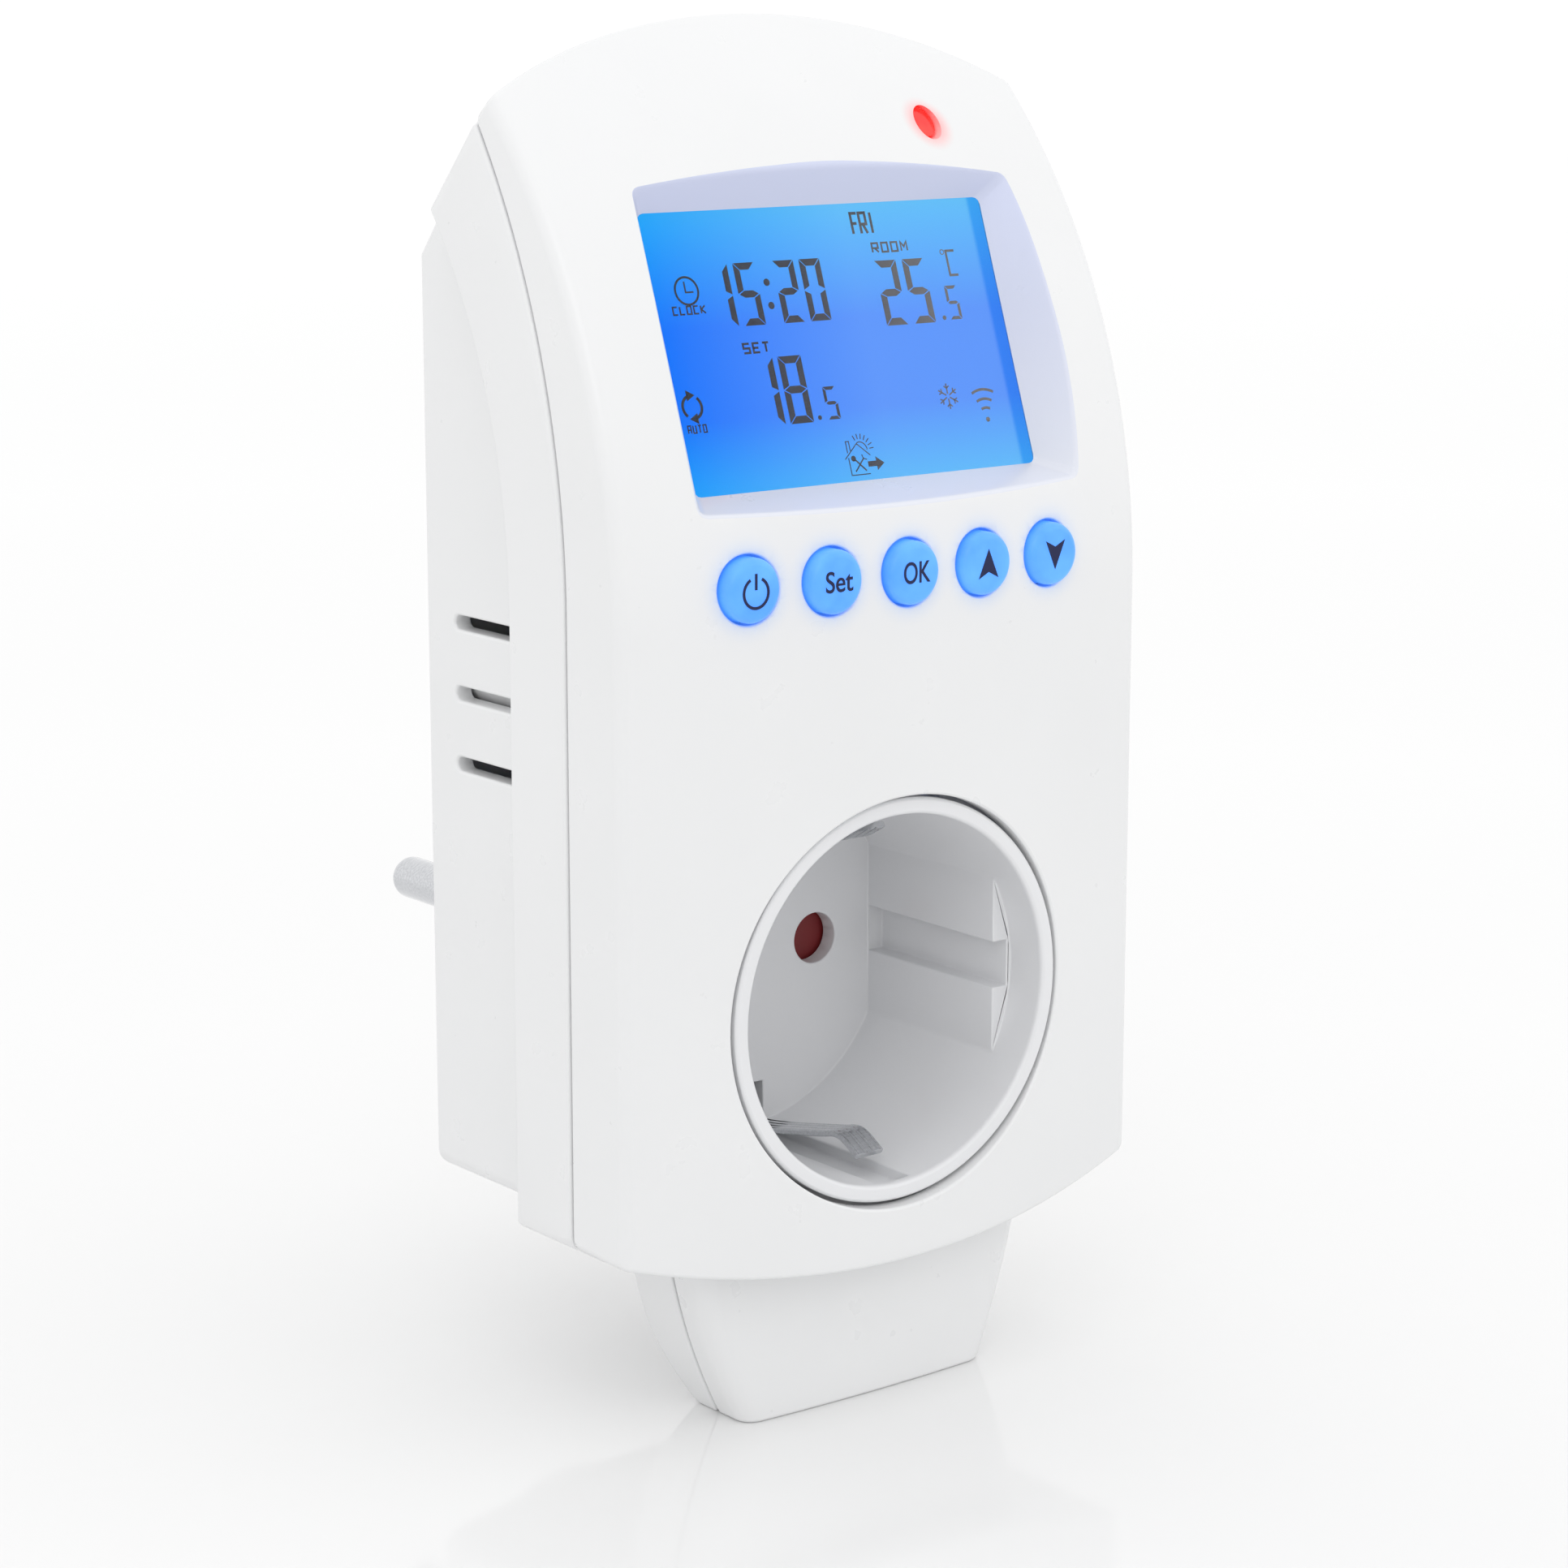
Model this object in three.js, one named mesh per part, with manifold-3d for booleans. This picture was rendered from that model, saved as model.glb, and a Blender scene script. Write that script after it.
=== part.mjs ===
// Plug-in heating timer with a room thermostat, for a round side-earthed mains socket.
// Millimetres, +Z up, the front looks towards -Y. The numbers below are in the case's frame, where Y = 0 is
// the rim of the socket and X = Z = 0 is its axis. The finished group is shifted along Y, so that the origin
// of the part is the centre of the plug's engagement face.

import * as THREE from 'three';
import { mergeVertices } from 'three/addons/utils/BufferGeometryUtils.js';
import Module from 'manifold-3d';

const wasm = await Module();
wasm.setup();

// ---- driving dimensions -------------------------------------------------------------------------------

const WALL = 2;                    // case wall
const GAP = 0.3;                   // clearance between pieces that meet

const CASE_HALF_WIDTH = 34.5;      // widest, at the seam between the two shells
const FRONT_HALF_WIDTH = 33.9;     // at the front edge
const BAND_HALF_WIDTH = 34.1;      // at the rear edge of the rear shell's band
const FRONT_Y = -1.1;              // front surface at mid width, below the lean
const CROWN_RADIUS = 190;          // the front bulges across its width
const LEAN_Z = 40;                 // the front is upright below this height and leans back above it
const LEAN_RADIUS = 77.5;
const LEAN_TURN = THREE.MathUtils.degToRad(58);
const SWEEP_DEPTH = 34;
const LOW_Z = -30;                 // below the body's underside
const FAR = 150;                   // well outside the case
const BEHIND_Y = 60;               // behind the case
const IN_FRONT_Y = -40;            // in front of it

const SEAM = { y: 10.1, startZ: 42, radius: 82.5, topZ: 110 };
const BAND_REAR = { y: 20.3, startZ: 42, radius: 64, topZ: 102 };

const TOP_SLOPE = Math.tan(THREE.MathUtils.degToRad(47));   // the top face runs back and down
const TOP_ARCH = { apex: 106.5, radius: 53.9, planeY: 20 };  // measured in the plane Y = planeY
const BOTTOM_ARCH = { apex: -27.6, radius: 115 };
const OUTLINE_CORNER = 2;

const BOX_HALF_WIDTH = 28.6;       // the narrower box behind the band
const BOX_BEHIND_SEAM = 4;         // the box starts this far behind the seam
const BOX_BACK_Y = 43.5;
const BOX_TOP_BACK_Z = 75;
const BOX_SLOPE = THREE.MathUtils.degToRad(50);
const BOX_TOP_ARCH = { apex: 87.3, radius: 79.5 };
const BOX_BOTTOM_ARCH = { apex: -26, radius: 115 };

const FOOT_BOTTOM_Z = -43.9;
const FOOT_TOP_Z = -18;
const FOOT_FRONT_Y = 4.5;
const FOOT_BACK_Y = 18.1;
const FOOT_BACK_ROUND = 4;         // how far the back comes forward at the bottom
const FOOT_ROUND_Z = -33;          // where that begins
const FOOT_HALF_WIDTH = 23.5;      // widest
const FOOT_SIDE = { z: -14, radius: 64.5 };
const FOOT_CROWN = 0.8;
const FOOT_CORNER = 2.5;
const FOOT_BACK_CORNER = 1.5;

const VENT_Z = [22.4, 29.9, 37.4];
const VENT_HEIGHT = 1.5;
const VENT_Y = [23, 38.4];

const SCREW_PLACES = [[-22.8, -16], [22.8, -16], [-22.8, 31], [22.8, 31]];
const PILLAR_RADIUS = 3.6;
const PILLAR_FRONT_Y = 14.15;
const SCREW_SEAT_Y = 16.5;
const SCREW_HOLE_RADIUS = 1.8;
const SCREW_HEAD_BORE = 2.95;

// Socket and plug: pins of 4.8 mm, 19 mm apart, and a recess of 39 mm, as the standard has them.
const PIN_X = 9.5;
const PIN_RADIUS = 2.4;
const RECESS_RADIUS = 19.5;
const RECESS_FLOOR_Y = 26;
const FLOOR_THICKNESS = 2.2;
const PIN_HOLE_RADIUS = 2.8;
const RIM_RADIUS = 21.27;
const SOCKET_HOLE_RADIUS = 21.71;
const KEY_X = 17;
const KEY_FRONT_Y = 5.1;
const PLUG_RADIUS = 18.5;
const PLUG_BORE = 15;
const PLUG_FACE_Y = 59.9;
const PIN_TIP_Y = 78.9;

const SHUTTER_TURN = THREE.MathUtils.degToRad(40);
const SHUTTER_Y = RECESS_FLOOR_Y + FLOOR_THICKNESS + GAP;
const SHUTTER_THICKNESS = 1.4;
const CARRIER_Y = [33.6, 35.2];
const BOSS_RADIUS = 2.6;
const BRIDGE_Y = [36.2, 37];
const CLIP_HALF_WIDTH = 1.8;
const CLIP_SLOT = { halfWidth: 2.3, frontY: 1.2, z: [14.9, 20.5] };
const PLUG_STRIP_HALF_WIDTH = 3.2;
const PLUG_STRIP_SLOT_HALF_WIDTH = 3.7;
const EARTH_Z = 19;

// Display: it sits in a plane that leans back, with its centre here.
const DISPLAY_CENTRE = new THREE.Vector3(0, 9.95, 66.8);
const DISPLAY_LEAN = THREE.MathUtils.degToRad(19.3);
const WINDOW_HALF = [22.15, 14.3];
const FLARE = { left: 0.7, right: 0.83, rightAtTop: 0.6, top: 1.09, bottom: 0.75, depth: 8.5, below: 0.5 };
const FLARE_STEPS = 8;

// The display stack, as ranges of depth (w) out of the display's plane, from the front to the back.
const WINDOW_W = [-1.3, -GAP];
const FRAME_W = [-7.5, -1];
const GLASS_W = [-3.4, -1.6];
const BACKLIGHT_W = [-6.5, -3.7];
const CONNECTOR_W = [-7.5, -3.7];
const DISPLAY_BOARD_W = [-9.4, -7.8];
const CHIP_W = [-11.1, -9.7];
const BATTERY_W = [-13, -9.7];

const BUTTON_Z = 44.64;
const BUTTON_PITCH = 9.75;
const BUTTON_NAMES = ['power', 'set', 'ok', 'up', 'down'];
const BUTTON_HOLE_RADIUS = 3.5;
const BUTTON_RADIUS = 3.25;
const BUTTON_PROUD = 1.15;
const BUTTON_FLANGE_RADIUS = 3.9;
const BUTTON_BACK_Y = 3.8;
const SWITCH_Y = [4.6, 7];
const SWITCH_BORE_Y = 6.75;
const BUTTON_BOARD_Y = [7.3, 8.9];

const LED_X = 16.75;
const LED_Z = 88.1;
const LED_RADIUS = 1.45;
const LED_HOLE_RADIUS = 1.7;

const POWER_BOARD_Y = [26, 27.6];
const PARTS_Y = POWER_BOARD_Y[1] + GAP;
const LEAD_RADIUS = 0.9;

// ---- solids from three.js geometry --------------------------------------------------------------------

function toSolid(geometry) {
  const bare = geometry.clone();
  bare.deleteAttribute('normal');
  bare.deleteAttribute('uv');
  const merged = mergeVertices(bare, 1e-4);
  const index = Array.from(merged.getIndex().array);
  const triangles = [];
  for (let i = 0; i < index.length; i += 3) {
    const [a, b, c] = index.slice(i, i + 3);
    if (a !== b && b !== c && c !== a) triangles.push(a, b, c);
  }
  const vertProperties = new Float32Array(merged.getAttribute('position').array);
  const triVerts = new Uint32Array(triangles);
  return new wasm.Manifold(new wasm.Mesh({ numProp: 3, vertProperties, triVerts }));
}

function toGeometry(solid) {
  const mesh = solid.getMesh();
  const geometry = new THREE.BufferGeometry();
  geometry.setAttribute('position', new THREE.BufferAttribute(mesh.vertProperties, 3));
  geometry.setIndex(new THREE.BufferAttribute(mesh.triVerts, 1));
  return geometry;
}

function joined(...solids) {
  return solids.reduce((sum, solid) => sum.add(solid));
}

function boxGeometry([x0, x1], [y0, y1], [z0, z1]) {
  const geometry = new THREE.BoxGeometry(x1 - x0, y1 - y0, z1 - z0);
  return geometry.translate((x0 + x1) / 2, (y0 + y1) / 2, (z0 + z1) / 2);
}

function box(xs, ys, zs) {
  return toSolid(boxGeometry(xs, ys, zs));
}

// A round bar along Y.
function rod(radius, [x, z], [y0, y1], sides = 24) {
  const geometry = new THREE.CylinderGeometry(radius, radius, y1 - y0, sides);
  return toSolid(geometry.translate(x, (y0 + y1) / 2, z));
}

// A turned piece about an axis along Y. The profile is a list of [radius, y].
function turned(profile, [x, z], sides = 20) {
  const points = profile.map(([radius, y]) => new THREE.Vector2(radius, y));
  const geometry = new THREE.LatheGeometry(points, sides);
  return toSolid(geometry.translate(x, 0, z));
}

function outline(points) {
  return new THREE.Shape(points.map(([a, b]) => new THREE.Vector2(a, b)));
}

function arcPoints(cx, cy, radius, from, to, steps) {
  return Array.from({ length: steps + 1 }, (_, i) => {
    const angle = from + (to - from) * i / steps;
    return [cx + radius * Math.cos(angle), cy + radius * Math.sin(angle)];
  });
}

function extruded(shape, depth, axes, origin) {
  const geometry = new THREE.ExtrudeGeometry(shape, { depth, bevelEnabled: false, curveSegments: 16 });
  const matrix = new THREE.Matrix4().makeBasis(...axes.map((axis) => new THREE.Vector3(...axis)));
  matrix.setPosition(...origin);
  return toSolid(geometry.applyMatrix4(matrix));
}

// Prisms of an outline drawn in (y, z) and in (x, z).
function prismX(points, [x0, x1]) {
  return extruded(outline(points), x1 - x0, [[0, 1, 0], [0, 0, 1], [1, 0, 0]], [x0, 0, 0]);
}

function prismY(points, [y0, y1]) {
  return extruded(outline(points), y1 - y0, [[1, 0, 0], [0, 0, 1], [0, -1, 0]], [0, y1, 0]);
}

// A bent strip of sheet metal or ribbon: its middle line in (y, z), its thickness and its span in X.
function strip(line, thickness, xs) {
  const sides = line.map(([y, z], i) => {
    const [y0, z0] = line[Math.max(i - 1, 0)];
    const [y1, z1] = line[Math.min(i + 1, line.length - 1)];
    const length = Math.hypot(y1 - y0, z1 - z0);
    const across = [-(z1 - z0) / length * thickness / 2, (y1 - y0) / length * thickness / 2];
    return [[y + across[0], z + across[1]], [y - across[0], z - across[1]]];
  });
  const there = sides.map((side) => side[0]);
  const back = sides.map((side) => side[1]).reverse();
  return prismX([...there, ...back], xs);
}

// A round lead through a list of points.
function lead(points, radius = LEAD_RADIUS, steps = 16) {
  const path = new THREE.CatmullRomCurve3(points.map((point) => new THREE.Vector3(...point)));
  const section = outline(arcPoints(0, 0, radius, 0, Math.PI * 5 / 3, 5));
  return toSolid(new THREE.ExtrudeGeometry(section, { steps, extrudePath: path, bevelEnabled: false }));
}

// ---- the case's blanks --------------------------------------------------------------------------------

// The path of the front surface at mid width: straight up, then an arc that leans back.
class LeanCurve extends THREE.Curve {
  getPoint(t, target = new THREE.Vector3()) {
    const straight = LEAN_Z - LOW_Z;
    const along = t * (straight + LEAN_RADIUS * LEAN_TURN);
    if (along < straight) return target.set(0, FRONT_Y, LOW_Z + along);
    const angle = (along - straight) / LEAN_RADIUS;
    const y = FRONT_Y + LEAN_RADIUS * (1 - Math.cos(angle));
    return target.set(0, y, LEAN_Z + LEAN_RADIUS * Math.sin(angle));
  }
}

// How far the crowned front falls back at a distance x from mid width.
function crownDrop(x) {
  return CROWN_RADIUS - Math.sqrt(CROWN_RADIUS ** 2 - x ** 2);
}

// The front surface's Y at a place on the front.
function frontY(x, z) {
  const rise = Math.max(z - LEAN_Z, 0);
  return FRONT_Y + LEAN_RADIUS - Math.sqrt(LEAN_RADIUS ** 2 - rise ** 2) + crownDrop(x);
}

// Right half of the body's level section, as [x, height above the mid-width front], from the middle out.
// A sweep up the lean curve takes a section's first axis out of the front and its second along X.
function halfSection(inset) {
  const corner = 1;
  const flat = FRONT_HALF_WIDTH - inset - corner;
  const front = Array.from({ length: 6 }, (_, i) => [flat * i / 5, -inset - crownDrop(flat * i / 5)]);
  const edgeY = -inset - crownDrop(flat) - corner;
  const rounding = arcPoints(flat, edgeY, corner, Math.PI / 2, 0, 2).slice(1);
  const seamDepth = SEAM.y - FRONT_Y;
  const bandDepth = BAND_REAR.y - FRONT_Y;
  const side = [
    [CASE_HALF_WIDTH - inset, -seamDepth],
    [BAND_HALF_WIDTH - inset, -bandDepth],
    [BAND_HALF_WIDTH - inset, -SWEEP_DEPTH],
  ];
  return [...front, ...rounding, ...side];
}

// Points of an upright line that turns into an arc leaning back, from the bottom up.
function leanPoints({ y, startZ, radius, topZ }, steps = 12) {
  const turn = Math.asin((topZ - startZ) / radius);
  const arc = Array.from({ length: steps + 1 }, (_, i) => {
    const angle = turn * i / steps;
    return [y + radius * (1 - Math.cos(angle)), startZ + radius * Math.sin(angle)];
  });
  return [[y, -FAR], ...arc];
}

// Everything in front of a leaning line, as a block across the whole width.
function inFrontOf(line) {
  const points = leanPoints(line);
  return prismX([...points, [-FAR, line.topZ], [-FAR, -FAR]], [-FAR, FAR]);
}

// An outline in (x, z) that is straight at the sides and arched at one end, with rounded corners.
// side is 1 for an arch at the top and -1 for one at the bottom.
function archOutline(halfWidth, { apex, radius }, side) {
  const centre = side * apex - radius;
  const reach = halfWidth - OUTLINE_CORNER;
  const cornerZ = centre + Math.sqrt((radius - OUTLINE_CORNER) ** 2 - reach ** 2);
  const turn = Math.atan2(cornerZ - centre, reach);
  const right = arcPoints(reach, cornerZ, OUTLINE_CORNER, 0, turn, 3);
  const arch = arcPoints(0, centre, radius, turn, Math.PI - turn, 14).slice(1, -1);
  const left = arcPoints(-reach, cornerZ, OUTLINE_CORNER, Math.PI - turn, Math.PI, 3);
  const points = [[halfWidth, -FAR], ...right, ...arch, ...left, [-halfWidth, -FAR]];
  return points.map(([x, z]) => [x, side * z]);
}

// Everything in front of the seam, with the seam itself moved back by shift.
function shiftedSeam(shift) {
  return inFrontOf({ ...SEAM, y: SEAM.y + shift });
}

// The limit that the top face sets: an arch pushed back and down along the top slope.
function topLimit(inset) {
  const lowered = inset * Math.hypot(1, TOP_SLOPE);
  const arch = { apex: TOP_ARCH.apex - lowered, radius: TOP_ARCH.radius - inset };
  const shape = outline(archOutline(CASE_HALF_WIDTH - inset, arch, 1));
  const shift = -(BEHIND_Y - TOP_ARCH.planeY) * TOP_SLOPE;
  const axes = [[1, 0, 0], [0, 0, 1], [0, -1, TOP_SLOPE]];
  return extruded(shape, BEHIND_Y - IN_FRONT_Y, axes, [0, BEHIND_Y, shift]);
}

function bodyBlank(inset) {
  const right = halfSection(inset);
  const left = right.slice(1).map(([x, y]) => [-x, y]).reverse();
  const section = outline([...right, ...left].map(([x, height]) => [height, x]));
  const sweep = { steps: 24, extrudePath: new LeanCurve(), bevelEnabled: false };
  const swept = toSolid(new THREE.ExtrudeGeometry(section, sweep));
  const rear = { ...BAND_REAR, y: BAND_REAR.y - inset, radius: BAND_REAR.radius + inset };
  const arch = { apex: BOTTOM_ARCH.apex + inset, radius: BOTTOM_ARCH.radius - inset };
  const bottomLimit = prismY(archOutline(CASE_HALF_WIDTH - inset, arch, -1), [IN_FRONT_Y, BEHIND_Y]);
  return swept.intersect(inFrontOf(rear)).intersect(topLimit(inset)).intersect(bottomLimit);
}

function boxBlank(inset) {
  const backY = BOX_BACK_Y - inset;
  const backZ = BOX_TOP_BACK_Z + inset * (Math.tan(BOX_SLOPE) - 1 / Math.cos(BOX_SLOPE));
  const frontZ = backZ + backY * Math.tan(BOX_SLOPE);
  const side = [[0, -FAR], [backY, -FAR], [backY, backZ], [0, frontZ]];
  const top = { apex: BOX_TOP_ARCH.apex - inset, radius: BOX_TOP_ARCH.radius - inset };
  const bottom = { apex: BOX_BOTTOM_ARCH.apex + inset, radius: BOX_BOTTOM_ARCH.radius - inset };
  const halfWidth = BOX_HALF_WIDTH - inset;
  const profile = prismX(side, [-halfWidth, halfWidth]);
  const above = prismY(archOutline(halfWidth, top, 1), [0, BEHIND_Y]);
  const below = prismY(archOutline(halfWidth, bottom, -1), [0, BEHIND_Y]);
  return profile.intersect(above).intersect(below).subtract(shiftedSeam(BOX_BEHIND_SEAM));
}

// The foot is a level section that narrows downwards along an arc. Its back comes forward near the bottom.
function footBlank(inset) {
  const reach = FOOT_HALF_WIDTH - FOOT_CORNER;
  const front = Array.from({ length: 5 }, (_, i) => {
    const x = (i / 4 * 2 - 1) * reach;
    return [x, FOOT_CROWN * (x / FOOT_HALF_WIDTH) ** 2];
  });
  const depth = FOOT_BACK_Y - FOOT_FRONT_Y;
  const right = arcPoints(reach, FOOT_CORNER + FOOT_CROWN, FOOT_CORNER, -Math.PI / 2, 0, 3).slice(1);
  const backReach = [FOOT_HALF_WIDTH - FOOT_BACK_CORNER, depth - FOOT_BACK_CORNER];
  const backRight = arcPoints(...backReach, FOOT_BACK_CORNER, 0, Math.PI / 2, 2);
  const mirror = (points) => points.map(([x, y]) => [-x, y]).reverse();
  const shape = outline([...front, ...right, ...backRight, ...mirror(backRight), ...mirror(right)]);
  const height = FOOT_TOP_Z - FOOT_BOTTOM_Z - inset;
  const geometry = new THREE.ExtrudeGeometry(shape, { depth: height, steps: 6, bevelEnabled: false });
  geometry.translate(0, 0, FOOT_BOTTOM_Z + inset);
  const position = geometry.getAttribute('position');
  for (let i = 0; i < position.count; i += 1) {
    const z = position.getZ(i);
    const fromSide = FOOT_SIDE.radius - Math.sqrt(FOOT_SIDE.radius ** 2 - (z - FOOT_SIDE.z) ** 2);
    const halfWidth = FOOT_HALF_WIDTH - fromSide - inset;
    const low = Math.max(FOOT_ROUND_Z - z, 0) / (FOOT_ROUND_Z - FOOT_BOTTOM_Z);
    const back = FOOT_BACK_Y - FOOT_BACK_ROUND * low ** 2 - inset;
    const frontY0 = FOOT_FRONT_Y + inset;
    position.setX(i, position.getX(i) * halfWidth / FOOT_HALF_WIDTH);
    position.setY(i, frontY0 + position.getY(i) * (back - frontY0) / depth);
  }
  return toSolid(geometry);
}

function caseBlank(inset) {
  return joined(bodyBlank(inset), boxBlank(inset), footBlank(inset));
}

// ---- the display's own frame --------------------------------------------------------------------------

// u runs along X, v up the display and w out of its face. w = 0 is the back of the opening in the front.
const displayMatrix = new THREE.Matrix4().makeRotationX(Math.PI / 2 - DISPLAY_LEAN);
displayMatrix.setPosition(DISPLAY_CENTRE);

function displayBox(us, vs, ws) {
  return toSolid(boxGeometry(us, vs, ws).applyMatrix4(displayMatrix));
}

// The opening over the display widens towards the front, more at the right than at the left.
function displayFlare() {
  const [halfU, halfV] = WINDOW_HALF;
  const corner = 1;
  const rightSide = Array.from({ length: 11 }, (_, i) => [halfU, (i / 5 - 1) * (halfV - corner)]);
  const topSide = Array.from({ length: 7 }, (_, i) => [(1 - i / 3) * (halfU - corner), halfV]);
  const around = [...rightSide, ...topSide];
  const shape = outline([...around, ...around.map(([u, v]) => [-u, -v])]);
  const settings = { depth: FLARE.depth, steps: FLARE_STEPS, bevelEnabled: false };
  const geometry = new THREE.ExtrudeGeometry(shape, settings);
  geometry.translate(0, 0, -FLARE.below);
  const position = geometry.getAttribute('position');
  for (let i = 0; i < position.count; i += 1) {
    const [u, v, w] = [position.getX(i), position.getY(i), position.getZ(i)];
    const rightSlope = FLARE.right + FLARE.rightAtTop * Math.max(v / halfV, 0) ** 2;
    const sideSlope = u > 0 ? rightSlope : FLARE.left;
    const endSlope = v > 0 ? FLARE.top : FLARE.bottom;
    position.setX(i, u * (1 + sideSlope * w / halfU));
    position.setY(i, v * (1 + endSlope * w / halfV));
  }
  return toSolid(geometry.applyMatrix4(displayMatrix));
}

// ---- case shells --------------------------------------------------------------------------------------

const outerCase = caseBlank(0);
const caseShell = outerCase.subtract(caseBlank(WALL));

function buttonX(i) {
  return (i - 2) * BUTTON_PITCH;
}

function frontCover() {
  let cover = caseShell.intersect(shiftedSeam(-GAP / 2));
  cover = cover.add(displayBox([-27, 27], [-18.3, 19.5], [0, 12]).intersect(outerCase));
  for (const place of SCREW_PLACES) {
    cover = cover.add(rod(PILLAR_RADIUS - GAP, place, [frontY(...place) + 1, PILLAR_FRONT_Y - GAP], 16));
  }
  cover = cover.subtract(displayFlare()).subtract(rod(SOCKET_HOLE_RADIUS, [0, 0], [-10, 9], 48));
  for (const place of SCREW_PLACES) cover = cover.subtract(rod(SCREW_HOLE_RADIUS, place, [4, 20], 12));
  BUTTON_NAMES.forEach((_, i) => {
    cover = cover.subtract(rod(BUTTON_HOLE_RADIUS, [buttonX(i), BUTTON_Z], [-10, 6]));
  });
  return cover.subtract(rod(LED_HOLE_RADIUS, [LED_X, LED_Z], [5, 24], 24));
}

// One vent slot, a stadium in (y, z), through the side wall of the rear box.
function vent(z, side) {
  const half = VENT_HEIGHT / 2;
  const rear = arcPoints(VENT_Y[1] - half, z, half, -Math.PI / 2, Math.PI / 2, 4);
  const front = arcPoints(VENT_Y[0] + half, z, half, Math.PI / 2, Math.PI * 3 / 2, 4);
  const xs = [BOX_HALF_WIDTH - WALL - 0.2, BOX_HALF_WIDTH + 1].map((x) => x * side);
  return prismX([...rear, ...front], [Math.min(...xs), Math.max(...xs)]);
}

function rearCover() {
  let cover = caseShell.subtract(shiftedSeam(GAP / 2));
  for (const place of SCREW_PLACES) {
    cover = cover.add(rod(PILLAR_RADIUS, place, [PILLAR_FRONT_Y, BOX_BACK_Y - 1], 16));
  }
  for (const place of SCREW_PLACES) {
    cover = cover.subtract(rod(SCREW_HEAD_BORE, place, [SCREW_SEAT_Y, BOX_BACK_Y + 2], 16));
    const hole = rod(SCREW_HOLE_RADIUS, place, [PILLAR_FRONT_Y - 1, SCREW_SEAT_Y + 1], 12);
    cover = cover.subtract(hole);
  }
  for (const z of VENT_Z) cover = cover.subtract(vent(z, 1)).subtract(vent(z, -1));
  return cover.subtract(rod(PLUG_RADIUS + GAP, [0, 0], [BOX_BACK_Y - WALL - 1, BOX_BACK_Y + 2], 48));
}

// ---- socket -------------------------------------------------------------------------------------------

function socketInsert() {
  const floorBack = RECESS_FLOOR_Y + FLOOR_THICKNESS;
  const flange = { radius: 24, y: [2.9, 4.4] };
  const cup = turned([
    [0, RECESS_FLOOR_Y], [RECESS_RADIUS, RECESS_FLOOR_Y], [RECESS_RADIUS, 0.4], [RECESS_RADIUS + 0.4, 0],
    [RIM_RADIUS, 0], [RIM_RADIUS, flange.y[0]], [flange.radius, flange.y[0]], [flange.radius, flange.y[1]],
    [RIM_RADIUS, flange.y[1]], [RIM_RADIUS, floorBack], [0, floorBack],
  ], [0, 0], 48);
  let insert = cup.add(rod(BOSS_RADIUS, [0, 0], [floorBack - 0.5, CARRIER_Y[1]], 20));
  const keyBlock = rod(RECESS_RADIUS + 0.3, [0, 0], [KEY_FRONT_Y, RECESS_FLOOR_Y + 0.3], 48);
  for (const side of [-1, 1]) {
    const beyond = [KEY_X * side, 30 * side].sort((a, b) => a - b);
    const groove = [KEY_X * side, 19 * side].sort((a, b) => a - b);
    const key = keyBlock.intersect(box(beyond, [0, 40], [-15, 15]));
    insert = insert.add(key.subtract(box(groove, [0, RECESS_FLOOR_Y - 0.01], [-2.5, 2.5])));
    const pinHole = rod(PIN_HOLE_RADIUS, [PIN_X * side, 0], [RECESS_FLOOR_Y - 1, floorBack + 1], 24);
    insert = insert.subtract(pinHole);
    const slotX = [-CLIP_SLOT.halfWidth, CLIP_SLOT.halfWidth];
    const slotZ = CLIP_SLOT.z.map((z) => z * side).sort((a, b) => a - b);
    insert = insert.subtract(box(slotX, [CLIP_SLOT.frontY, floorBack + 1], slotZ));
  }
  return insert;
}

// The shutter covers the pin holes at rest. Turned by SHUTTER_TURN, its two windows line up with them.
function safetyShutter() {
  const back = SHUTTER_Y + SHUTTER_THICKNESS;
  let shutter = rod(14, [0, 0], [SHUTTER_Y, back], 32);
  shutter = shutter.subtract(rod(BOSS_RADIUS + GAP, [0, 0], [SHUTTER_Y - 1, back + 1], 24));
  for (const side of [-1, 1]) {
    const window = [PIN_X * side * Math.cos(SHUTTER_TURN), PIN_X * side * Math.sin(SHUTTER_TURN)];
    shutter = shutter.subtract(rod(3.1, window, [SHUTTER_Y - 1, back + 1], 24));
  }
  return shutter;
}

class CoilCurve extends THREE.Curve {
  getPoint(t, target = new THREE.Vector3()) {
    const turns = 3.5;
    const radius = 4.4;
    const angle = t * turns * Math.PI * 2;
    const y = SHUTTER_Y + SHUTTER_THICKNESS + 0.75 + t * 2.2;
    return target.set(radius * Math.cos(angle), y, radius * Math.sin(angle));
  }
}

function shutterSpring() {
  const section = outline(arcPoints(0, 0, 0.28, 0, Math.PI * 3 / 2, 3));
  const sweep = { steps: 40, extrudePath: new CoilCurve(), bevelEnabled: false };
  return toSolid(new THREE.ExtrudeGeometry(section, sweep));
}

function shutterCarrier() {
  const [plateY, backY] = CARRIER_Y;
  const bore = BOSS_RADIUS + GAP;
  let carrier = turned([
    [bore, plateY], [14.6, plateY], [14.6, SHUTTER_Y], [15.6, SHUTTER_Y], [15.6, backY], [bore, backY],
    [bore, plateY],
  ], [0, 0], 30);
  for (const side of [-1, 1]) {
    carrier = carrier.subtract(rod(3.2, [PIN_X * side, 0], [plateY - 1, backY + 1], 16));
  }
  return carrier;
}

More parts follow.
